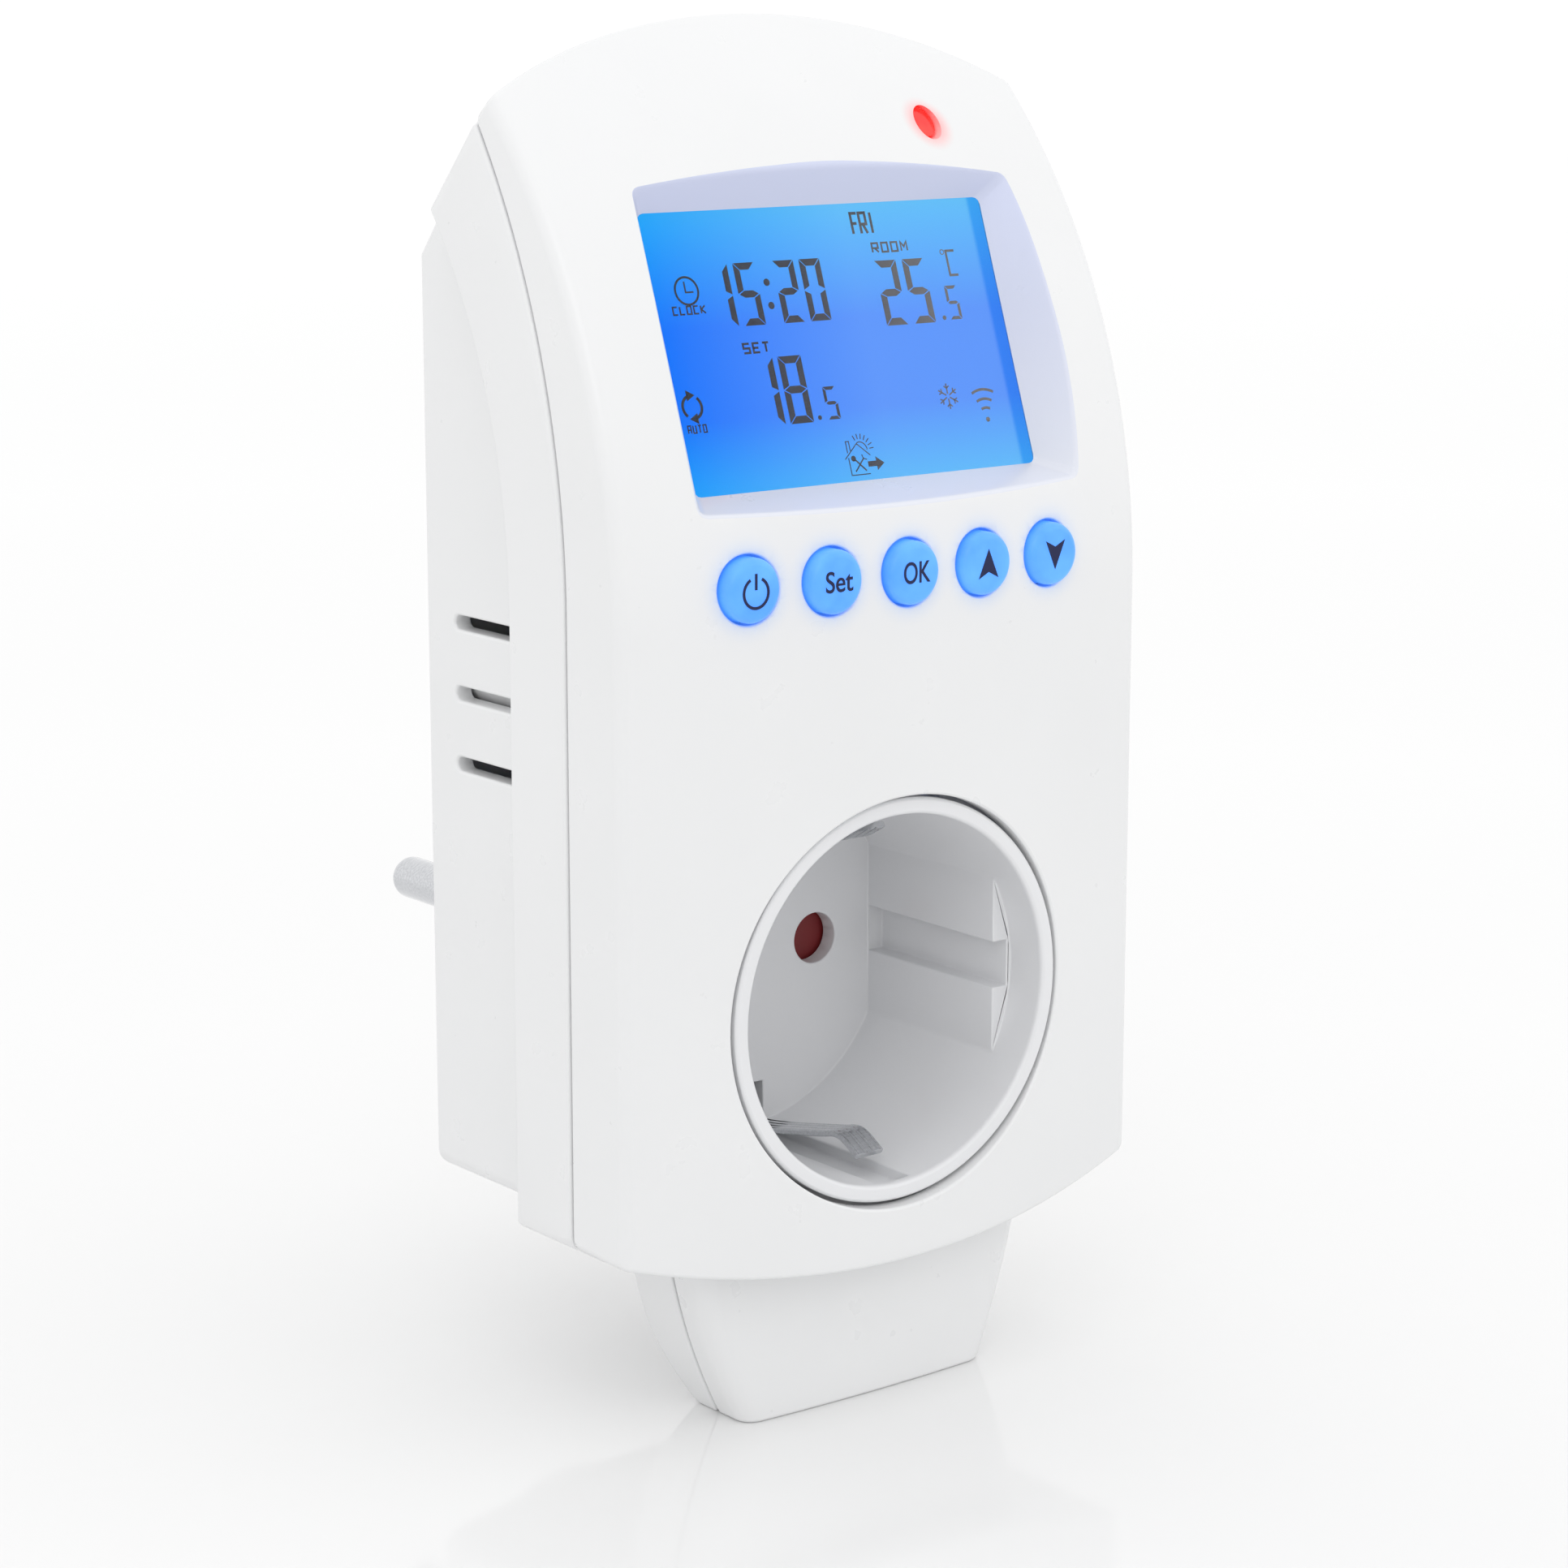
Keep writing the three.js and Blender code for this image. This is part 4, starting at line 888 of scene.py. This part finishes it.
def front_cover(outer, shell):
    cover = within(shell, seam_at(-GAP / 2))
    surround = within(display_block((-27, 27), (-18.3, 19.5), (0, 12), INNER), outer)
    cover = joined(cover, surround)
    pillars = []
    for place in SCREW_PLACES:
        span = (front_y(*place) + 1, PILLAR_FRONT_Y - GAP)
        pillars.append(rod(PILLAR_RADIUS - GAP, place, span, 32, INNER))
    cover = joined(cover, together(pillars))
    holes = [rod(1.8, place, (4, 20), 24, INNER) for place in SCREW_PLACES]
    for i in range(len(BUTTON_NAMES)):
        holes.append(mouth(BUTTON_HOLE_RADIUS, (button_x(i), BUTTON_Z), 6, 0.3, 64))
    holes.append(mouth(LED_HOLE_RADIUS, LED_PLACE, 24, 0.3, 48))
    holes.append(mouth(SOCKET_HOLE_RADIUS, (0, 0), 9, 0.3, 144))
    return without(cover, together(holes), display_flare())


def vent(z, side):
    """One vent slot, a stadium in (y, z), through the side wall of the rear box."""
    half = VENT_HEIGHT / 2
    rear = arc(VENT_Y[1] - half, z, half, -math.pi / 2, math.pi / 2, 8)
    front = arc(VENT_Y[0] + half, z, half, math.pi / 2, math.pi * 1.5, 8)
    xs = [x * side for x in (BOX_HALF_WIDTH - WALL - 0.2, BOX_HALF_WIDTH + 1)]
    return prism_x([*rear, *front], sorted(xs))


def rear_cover(shell):
    cover = without(shell, seam_at(GAP / 2))
    pillars = [rod(PILLAR_RADIUS, place, (PILLAR_FRONT_Y, BOX_BACK_Y - 1), 32, INNER) for place in SCREW_PLACES]
    cover = joined(cover, together(pillars))
    holes = [rod(2.95, place, (SCREW_SEAT_Y, BOX_BACK_Y + 2), 48) for place in SCREW_PLACES]
    holes += [vent(z, side) for z in VENT_Z for side in (-1, 1)]
    holes.append(rod(PLUG_RADIUS + GAP, (0, 0), (BOX_BACK_Y - WALL - 1, BOX_BACK_Y + 2), 128))
    cover = without(cover, together(holes))
    screw_holes = [rod(1.8, place, (PILLAR_FRONT_Y - 1, SCREW_SEAT_Y + 1), 24, INNER) for place in SCREW_PLACES]
    return without(cover, together(screw_holes))


outer_case = case_blank(0)
case_shell = without(copied(outer_case), case_blank(WALL, INNER))

front = front_cover(outer_case, copied(case_shell))
front = weighted(finished(eased(front, 0.45), "case_front", "case", WHITE, lit=LIT_WHITE))
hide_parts("front_cover")

rear = rear_cover(case_shell)
rear = weighted(finished(eased(rear, 0.35, degrees=45), "case_rear", "case", WHITE))
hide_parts("rear_cover")

# ---- socket ---------------------------------------------------------------------------------------------


def recess_tool():
    """What the round recess removes, with its rounded mouth."""
    mouth = [(RECESS_RADIUS + 1.0, -0.5), (RECESS_RADIUS + 0.45, 0.0), (RECESS_RADIUS + 0.15, 0.12)]
    return turned([*mouth, (RECESS_RADIUS, 0.4), (RECESS_RADIUS, RECESS_FLOOR_Y)], sides=144)


def recess_key(side):
    """The flat that keys the plug, filling one side of the recess, with the groove along its middle."""
    key = rod(RECESS_RADIUS + 0.3, (0, 0), (KEY_FRONT_Y, RECESS_FLOOR_Y + 0.3), 144)
    beyond = sorted((KEY_X * side, 30 * side))
    groove = sorted((KEY_X * side - side, 19 * side))
    key = within(key, block(beyond, (0, 40), (-15, 15)))
    return without(key, block(groove, (0, RECESS_FLOOR_Y - 0.01), (-2.5, 2.5)))


def socket_insert():
    front_edge = [(RIM_RADIUS - 0.35, 0.0), (RIM_RADIUS - 0.1, 0.1), (RIM_RADIUS, 0.35)]
    flange = [(RIM_RADIUS, 2.9), (24.0, 2.9), (24.0, 4.4), (RIM_RADIUS, 4.4)]
    boss = [(RIM_RADIUS, FLOOR_BACK_Y), (BOSS_RADIUS, FLOOR_BACK_Y), (BOSS_RADIUS, BOSS_BACK_Y)]
    insert = without(turned([*front_edge, *flange, *boss], sides=144), recess_tool())
    insert = joined(insert, recess_key(-1), recess_key(1))
    holes = []
    for side in (-1, 1):
        holes.append(rod(PIN_HOLE_RADIUS, (PIN_X * side, 0), (RECESS_FLOOR_Y - 1, FLOOR_BACK_Y + 1), 48))
        slot = sorted(z * side for z in CLIP_SLOT_Z)
        width = (-CLIP_SLOT_HALF_WIDTH, CLIP_SLOT_HALF_WIDTH)
        holes.append(block(width, (CLIP_SLOT_FRONT_Y, FLOOR_BACK_Y + 1), slot))
    return without(insert, together(holes))


def smooth_line(knots, steps=6):
    """A Catmull-Rom line through a few (a, b) knots."""
    ends = [knots[0], *knots, knots[-1]]
    line = []
    for i in range(1, len(ends) - 2):
        before, start, end, after = (Vector(knot) for knot in ends[i - 1:i + 3])
        for t in spread(0, 1, steps)[:-1]:
            cubic = 3 * start - before - 3 * end + after
            square = 2 * before - 5 * start + 4 * end - after
            line.append(0.5 * (2 * start + (end - before) * t + square * t * t + cubic * t**3))
    return [*line, Vector(knots[-1])]


def ribbed_face(half_width, level, ribs=3, depth=0.22, steps=8):
    """Points across one face of a strip, from +x to -x: rounded ribs with narrow grooves between them."""
    points = []
    for x in spread(half_width, -half_width, ribs * steps):
        phase = (x + half_width) / (2 * half_width) * ribs % 1
        points.append((x, level - depth * (1 - math.sin(math.pi * phase) ** 0.5)))
    return points[1:-1]


def bent_strip(knots, thickness, half_width, side):
    """A strip of sheet metal along a smooth line in (y, z), ribbed on its inner face, with rounded edges."""
    line = smooth_line(knots)
    radius = thickness * 0.3
    flat = half_width - radius
    section = []
    for sign_x, sign_n, start in ((1, 1, 0), (-1, 1, 90), (-1, -1, 180), (1, -1, 270)):
        centre = (sign_x * flat, sign_n * (thickness / 2 - radius))
        section += arc(*centre, radius, math.radians(start), math.radians(start + 90), 3)
        if (sign_x, sign_n) == (1, 1):
            section += ribbed_face(flat, thickness / 2)
    rings = []
    for i, point in enumerate(line):
        along = (line[min(i + 1, len(line) - 1)] - line[max(i - 1, 0)]).normalized()
        inward = Vector((-along.y, along.x)) * side
        rings.append([(x * side, *(point + inward * n)) for x, n in section])
    return solid(rings)


def earth_clip(side):
    knots = [(35.9, 19), (29.5, 19), (23.5, 18.95), (12, 16.72), (9.4, 16.1), (8.2, 16.02), (7, 16.4), (4.95, 17.55)]
    return bent_strip([(y, z * side) for y, z in knots], 0.7, CLIP_HALF_WIDTH, side)


insert = weighted(finished(eased(socket_insert(), 0.2, reach=0.5), "socket_recess", "case", SOCKET_SHADED_WHITE))
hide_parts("socket_insert")
for clip_side, clip_end in ((1, "top"), (-1, "bottom")):
    clip = finished(earth_clip(clip_side), f"earth_spring_{clip_end}", f"clip_{clip_end}", NICKEL)
    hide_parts(f"earth_clip_{clip_end}")

# ---- plug -----------------------------------------------------------------------------------------------


def plug_body():
    front_of_flange, back_of_flange = 39.5, BOX_BACK_Y - WALL - GAP
    outside = [
        (21, front_of_flange), (21, back_of_flange), (PLUG_RADIUS, back_of_flange),
        (PLUG_RADIUS, PLUG_FACE_Y - 1), (PLUG_RADIUS - 0.3, PLUG_FACE_Y - 0.3), (PLUG_RADIUS - 1, PLUG_FACE_Y),
    ]
    body = without(turned(outside, sides=128), rod(PLUG_BORE, (0, 0), (38, 56.1), 96))
    cuts = []
    for side in (-1, 1):
        cuts.append(rod(PIN_RADIUS + GAP, (PIN_X * side, 0), (50, 62), 48))
        cuts.append(block((-3.7, 3.7), (38, 57.6), sorted((17.1 * side, 23 * side))))
        cuts.append(block(sorted(((KEY_X - 0.2) * side, 20 * side)), (BOX_BACK_Y + 1, 62), (-11, 11)))
    return without(body, together(cuts))


def plug_pin(side):
    tip = arc(PIN_RADIUS - 1.6, PIN_TIP_Y - 1.6, 1.6, 0, math.pi / 2, 8)
    return turned([(3.4, 52), (3.4, 55.8), (PIN_RADIUS, 55.8), *tip], (PIN_X * side, 0), 48)


plug = weighted(finished(eased(plug_body(), 0.25), "plug", "case", WHITE))
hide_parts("plug_body")
for pin_side, pin_name in ((-1, "live"), (1, "neutral")):
    pin = finished(plug_pin(pin_side), f"plug_pin_{pin_name}", "case", NICKEL)
    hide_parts(f"{pin_name}_pin")

# ---- buttons and lamp -----------------------------------------------------------------------------------

INLAY = 0.04               # a button's symbol stands this far out of its face
STROKE_SINK = 0.05         # and starts this far inside it


def button_cap(i):
    x = button_x(i)
    surface = front_y(x, BUTTON_Z)
    face = surface - BUTTON_PROUD + INLAY
    flange = front_y(abs(x) + BUTTON_FLANGE_RADIUS, BUTTON_Z + BUTTON_FLANGE_RADIUS) + WALL + GAP
    rounding = arc(BUTTON_RADIUS - 0.8, face + 0.8, 0.8, -math.pi / 2, 0, 8)
    back = [(BUTTON_RADIUS, flange), (BUTTON_FLANGE_RADIUS, flange), (BUTTON_FLANGE_RADIUS, flange + 0.6)]
    return turned([(0.8, face), *rounding, *back, (2.2, flange + 0.6), (2.2, BUTTON_BACK_Y)], (x, BUTTON_Z), 64)


def ribbon(points, width, low, high, closed=False):
    """A stroke of even width along a line of (a, b) points, as a thin solid between two heights."""
    line = [Vector(point) for point in points]
    count = len(line)
    rings = []
    for i, point in enumerate(line):
        before = line[i - 1] if i or closed else point
        after = line[(i + 1) % count] if i < count - 1 or closed else point
        arrive = (point - before).normalized() if point != before else (after - point).normalized()
        leave = (after - point).normalized() if after != point else arrive
        along = (arrive + leave).normalized()
        half = width / 2 / max(along.dot(leave), 0.5)
        across = Vector((-along.y, along.x)) * half
        left, right = point + across, point - across
        rings.append([(*left, high), (*right, high), (*right, low), (*left, low)])
    return solid(rings, closed=closed)


def plate(points, low, high):
    return solid([[(a, b, w) for a, b in points] for w in (low, high)])


def power_symbol():
    ring = arc(0, -0.15, 1.5, math.radians(118), math.radians(422), 36)
    bar = [(0, 0.15), (0, 1.75)]
    return [ribbon(ring, 0.3, -STROKE_SINK, INLAY), ribbon(bar, 0.3, -STROKE_SINK, INLAY)]


def arrow_symbol(side):
    points = [(0, 1.55), (1.3, -1.45), (0, -0.8), (-1.3, -1.45)]
    return [plate([(a, b * side) for a, b in points], -STROKE_SINK, INLAY)]


def word(text, size, width):
    """A word in the plain built-in face, centred, as a solid."""
    curve = bpy.data.curves.new("word", "FONT")
    curve.body = text
    curve.size = size
    curve.extrude = (INLAY + STROKE_SINK) / 2
    curve.offset = 0.025
    curve.align_x, curve.align_y = "CENTER", "CENTER"
    made = link(curve, "word")
    made.location.z = (INLAY - STROKE_SINK) / 2
    made.scale.x = width
    bpy.context.view_layer.update()
    mesh = bpy.data.meshes.new_from_object(made.evaluated_get(bpy.context.evaluated_depsgraph_get()))
    mesh.transform(made.matrix_world)
    bpy.data.objects.remove(made)
    return [link(mesh, "word")]


SYMBOLS = {
    "power": power_symbol,
    "set": lambda: word("Set", 3.0, 0.92),
    "ok": lambda: word("OK", 3.1, 0.76),
    "up": lambda: arrow_symbol(1),
    "down": lambda: arrow_symbol(-1),
}
for i, button_name in enumerate(BUTTON_NAMES):
    body = f"button_{button_name}"
    cap = finished(button_cap(i), f"cap_{button_name}", body, BUTTON_BLUE)
    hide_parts(f"button_{button_name}")
    symbol = together(SYMBOLS[button_name]())
    face_y = front_y(button_x(i), BUTTON_Z) - BUTTON_PROUD + INLAY
    to_face = Matrix.Translation((button_x(i), face_y, BUTTON_Z)) @ Matrix.Rotation(math.pi / 2, 4, "X")
    symbol.data.transform(to_face)
    finished(symbol, f"symbol_{button_name}", body, SYMBOL_INK)


def status_lamp():
    x, z = LED_PLACE
    lens = within(rod(LED_RADIUS, LED_PLACE, (8, 21.5), 48), body_blank(0.5))
    lens = joined(lens, rod(2, LED_PLACE, (21, 22.2), 48))
    for side in (-1, 1):
        xs = (x + side * 1.2 - 0.3, x + side * 1.2 + 0.3)
        lens = joined(lens, block(xs, (22, 24.3), (z - 0.3, z + 0.3)), block(xs, (23.7, 24.3), (81.6, z)))
    return lens


lamp_piece = finished(eased(status_lamp(), 0.12), "status_lamp", "case", LED_RED)
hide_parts("status_led")

# ---- display --------------------------------------------------------------------------------------------

pane = finished(
    eased(display_block((-23.6, 23.6), (-15.6, 15.6), (-1.3, -GAP)), 0.12), "display_pane", "case", WINDOW,
)
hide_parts("display_window")
glass = finished(
    eased(display_block((-23.4, 23.4), (-15.4, 15.4), (-3.4, LCD_FACE_W)), 0.12), "lcd_panel", "case", LCD_BLUE,
)
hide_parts("lcd_glass")

MARK_LOW, MARK_HIGH = LCD_FACE_W - 0.05, LCD_FACE_W + 0.03

# Which of the seven segments each digit lights: a top, b and c right, d bottom, e and f left, g middle.
DIGITS = {"0": "abcdef", "1": "bc", "2": "abged", "5": "afgcd", "8": "abcdefg"}

# Letters as strokes on a grid one unit square.
LETTERS = {
    "A": [[(0, 0), (0, 1), (1, 1), (1, 0)], [(0, 0.45), (1, 0.45)]],
    "C": [[(1, 1), (0, 1), (0, 0), (1, 0)]],
    "E": [[(1, 1), (0, 1), (0, 0), (1, 0)], [(0, 0.5), (0.85, 0.5)]],
    "F": [[(1, 1), (0, 1), (0, 0)], [(0, 0.5), (0.8, 0.5)]],
    "I": [[(0.5, 0), (0.5, 1)]],
    "K": [[(0, 0), (0, 1)], [(1, 1), (0.1, 0.5), (1, 0)]],
    "L": [[(0, 1), (0, 0), (1, 0)]],
    "M": [[(0, 0), (0, 1), (0.5, 0.45), (1, 1), (1, 0)]],
    "O": [[(0.5, 0), (1, 0), (1, 1), (0, 1), (0, 0), (0.5, 0)]],
    "R": [[(0, 0), (0, 1), (1, 1), (1, 0.45), (0, 0.45)], [(0.45, 0.45), (1, 0)]],
    "S": [[(1, 1), (0, 1), (0, 0.5), (1, 0.5), (1, 0), (0, 0)]],
    "T": [[(0, 1), (1, 1)], [(0.5, 1), (0.5, 0)]],
    "U": [[(0, 1), (0, 0), (1, 0), (1, 1)]],
}


def segment(letter, width, height, bar):
    """The outline of one segment of a digit, with mitred ends and a hair of a gap."""
    gap = 0.07
    middle = height / 2
    inner = bar + gap
    upright = [(0, height - gap), (bar, height - inner), (bar, middle + bar / 2 + gap), (0, middle + gap)]
    top = [(gap, height), (width - gap, height), (width - inner, height - bar), (inner, height - bar)]
    cross = [
        (gap * 2, middle), (inner, middle + bar / 2), (width - inner, middle + bar / 2),
        (width - gap * 2, middle), (width - inner, middle - bar / 2), (inner, middle - bar / 2),
    ]
    shapes = {"a": top, "f": upright, "g": cross}
    shapes["b"] = [(width - a, b) for a, b in upright]
    shapes["c"] = [(width - a, height - b) for a, b in upright]
    shapes["d"] = [(a, height - b) for a, b in top]
    shapes["e"] = [(a, height - b) for a, b in upright]
    return shapes[letter]


def digit(figure, place, width, height, bar):
    u, v = place
    made = []
    for letter in DIGITS[figure]:
        points = [(u + a, v + b) for a, b in segment(letter, width, height, bar)]
        made.append(plate(points, MARK_LOW, MARK_HIGH))
    return made


def mark(points, width=0.16, closed=False):
    return ribbon(points, width, MARK_LOW, MARK_HIGH, closed)


def dot(u, v, radius):
    return plate(arc(u, v, radius, 0, math.pi * 15 / 8, 15), MARK_LOW, MARK_HIGH)


def label(text, place, size, pitch, width=0.2):
    u, v = place
    made = []
    for i, letter in enumerate(text):
        for line in LETTERS[letter]:
            made.append(mark([(u + i * pitch + a * size[0], v + b * size[1]) for a, b in line], width))
    return made


def clock_icon(u, v, radius=1.4):
    ring = arc(u, v, radius, 0, math.pi * 2 * 35 / 36, 35)
    return [mark(ring, 0.22, True), mark([(u - 0.15, v + 0.95), (u - 0.15, v - 0.15), (u + 0.8, v - 0.15)], 0.16)]


def cycle_icon(u, v, radius=1.15):
    """Two arrows chasing each other round a circle."""
    made = []
    for start in (100, 280):
        turn = arc(u, v, radius, math.radians(start), math.radians(start + 130), 14)
        made.append(mark(turn, 0.3))
        head_u, head_v = arc(u, v, radius, math.radians(start), 0, 1)[0]
        way = 1 if start == 100 else -1
        head = [(0.75, 0.05), (-0.25, 0.6), (-0.25, -0.5)]
        made.append(plate([(head_u + a * way, head_v + b * way) for a, b in head], MARK_LOW, MARK_HIGH))
    return made


def snow_icon(u, v, reach=1.35):
    made = []
    for arm in range(6):
        angle = math.radians(30 + 60 * arm)
        way = Vector((math.cos(angle), math.sin(angle)))
        centre = Vector((u, v))
        made.append(mark([centre + way * 0.25, centre + way * reach], 0.15))
        for side in (-1, 1):
            barb = Vector((math.cos(angle + side * 0.9), math.sin(angle + side * 0.9)))
            root = centre + way * reach * 0.62
            made.append(mark([root, root + barb * 0.42], 0.13))
    return made


def wireless_icon(u, v):
    made = [dot(u, v, 0.26)]
    for radius in (1.25, 2.2, 3.2):
        made.append(mark(arc(u, v, radius, math.radians(63), math.radians(117), 12), 0.28))
    return made


def home_icon(u, v):
    """A house with the sun over its roof, cutlery in it and an arrow leading out."""
    made = [mark([(u + 0.95, v - 1.3), (u - 1.45, v - 1.3), (u - 1.45, v + 0.5)], 0.1)]
    made.append(mark([(u - 1.9, v + 0.4), (u - 0.1, v + 1.9), (u + 1.4, v + 0.6)], 0.1))
    made.append(mark([(u - 1.45, v + 1.0), (u - 1.45, v + 2.2), (u - 1.05, v + 2.2), (u - 1.05, v + 1.2)], 0.1))
    for degrees in spread(5, 115, 6):
        ray = [arc(u + 0.3, v + 1.2, radius, math.radians(degrees), 0, 1)[0] for radius in (1.15, 1.7)]
        made.append(mark(ray, 0.1))
    made.append(mark(arc(u + 0.3, v + 1.2, 0.85, math.radians(0), math.radians(115), 10), 0.1))
    made.append(mark([(u - 0.75, v + 0.35), (u + 0.55, v - 0.95)], 0.16))
    made.append(dot(u - 0.85, v + 0.4, 0.3))
    made.append(mark([(u - 0.85, v - 0.95), (u + 0.5, v + 0.4)], 0.14))
    made.append(mark([(u + 0.3, v + 0.75), (u + 0.42, v + 0.32), (u + 0.85, v + 0.2)], 0.1))
    arrow = [(0.9, 0.28), (2.0, 0.28), (2.0, 0.7), (3.0, 0), (2.0, -0.7), (2.0, -0.28), (0.9, -0.28)]
    made.append(plate([(u + a, v - 0.3 + b) for a, b in arrow], MARK_LOW, MARK_HIGH))
    return made


def display_marks():
    made = []
    for figure, u in (("1", -13.9), ("5", -10.5), ("2", -5.5), ("0", -2.1)):
        made += digit(figure, (u, 2.7), 2.65, 6.45, 0.72)
    made += [dot(-6.7, 4.6, 0.38), dot(-6.7, 7.0, 0.38)]
    for figure, u in (("2", 7.6), ("5", 11.3)):
        made += digit(figure, (u, 1.65), 2.85, 6.85, 0.76)
    made += digit("5", (16.2, 1.8), 1.6, 3.6, 0.34) + [dot(15.4, 2.05, 0.24)]
    for figure, u in (("1", -10.95), ("8", -7.35)):
        made += digit(figure, (u, -7.6), 2.95, 6.95, 0.76)
    made += digit("5", (-2.5, -7.5), 1.6, 3.4, 0.34) + [dot(-3.55, -7.2, 0.24)]
    made += label("FRI", (5.75, 11.45), (0.8, 2.15), 1.08, 0.3)
    made += label("ROOM", (7.75, 9.4), (0.78, 0.95), 1.28, 0.2)
    made += label("C", (17.4, 6.5), (1.1, 2.6), 1, 0.26) + [mark(arc(16.9, 9.0, 0.26, 0, 5.5, 8), 0.09, True)]
    made += label("CLOCK", (-18.95, 4.3), (0.52, 0.78), 0.86, 0.16)
    made += label("SET", (-11.3, -0.05), (0.75, 0.95), 1.22, 0.22)
    made += label("AUTO", (-20.1, -7.6), (0.36, 0.75), 0.63, 0.13)
    made += clock_icon(-16.8, 6.65) + cycle_icon(-19.05, -5.0) + snow_icon(13.65, -6.2)
    made += wireless_icon(18.35, -9.0) + home_icon(0.45, -12.1)
    return together(made)


marks = display_marks()
marks.data.transform(DISPLAY_TO_CASE)
finished(marks, "display_marks", "case", INK)

# ---- stage, light and camera ----------------------------------------------------------------------------

floor_z = cad_low.z
floor_mesh = bpy.data.meshes.new("floor")
floor_mesh.from_pydata([(-3, -3, floor_z), (3, -3, floor_z), (3, 3, floor_z), (-3, 3, floor_z)], [], [(0, 1, 2, 3)])
floor = link(floor_mesh, "floor")
floor_material, floor_tree, floor_shader = new_material("floor_white")
floor_noise = noise_node(floor_tree, 4.0, 2.0)
floor_tree.links.new(map_node(floor_tree, floor_noise.outputs["Fac"], 0.05, 0.08), floor_shader.inputs["Roughness"])
floor_shader.inputs["Base Color"].default_value = (0.86, 0.86, 0.86, 1)
floor_mesh.materials.append(floor_material)

world = bpy.data.worlds.new("studio")
bpy.context.scene.world = world
world.use_nodes = True
background = world.node_tree.nodes["Background"]
background.inputs["Color"].default_value = (1, 1, 1, 1)
background.inputs["Strength"].default_value = 1.06

MIDDLE = Vector((0, -0.03, 0.03))


def softbox(name, place, size, power):
    lamp = bpy.data.lights.new(name, "AREA")
    lamp.shape = "RECTANGLE"
    lamp.size, lamp.size_y = size
    lamp.energy = power
    made = bpy.data.objects.new(name, lamp)
    bpy.context.scene.collection.objects.link(made)
    made.location = place
    made.rotation_euler = (MIDDLE - Vector(place)).to_track_quat("-Z", "Y").to_euler()


softbox("key", (-0.5, -0.6, 0.6), (0.5, 0.5), 0.6)
softbox("fill", (0.6, -0.5, 0.25), (0.5, 0.6), 0.2)
softbox("top", (0.0, 0.0, 0.8), (0.7, 0.7), 0.2)

camera_data = bpy.data.cameras.new("camera")
camera_data.sensor_width = 36
camera_data.lens = 89.22
camera = bpy.data.objects.new("camera", camera_data)
bpy.context.scene.collection.objects.link(camera)
camera.location = (-0.247638, -0.355676, 0.105118)
camera.rotation_euler = (math.radians(77.95), 0, math.radians(-38.159))
bpy.context.scene.camera = camera
bpy.context.scene.view_settings.view_transform = "Standard"
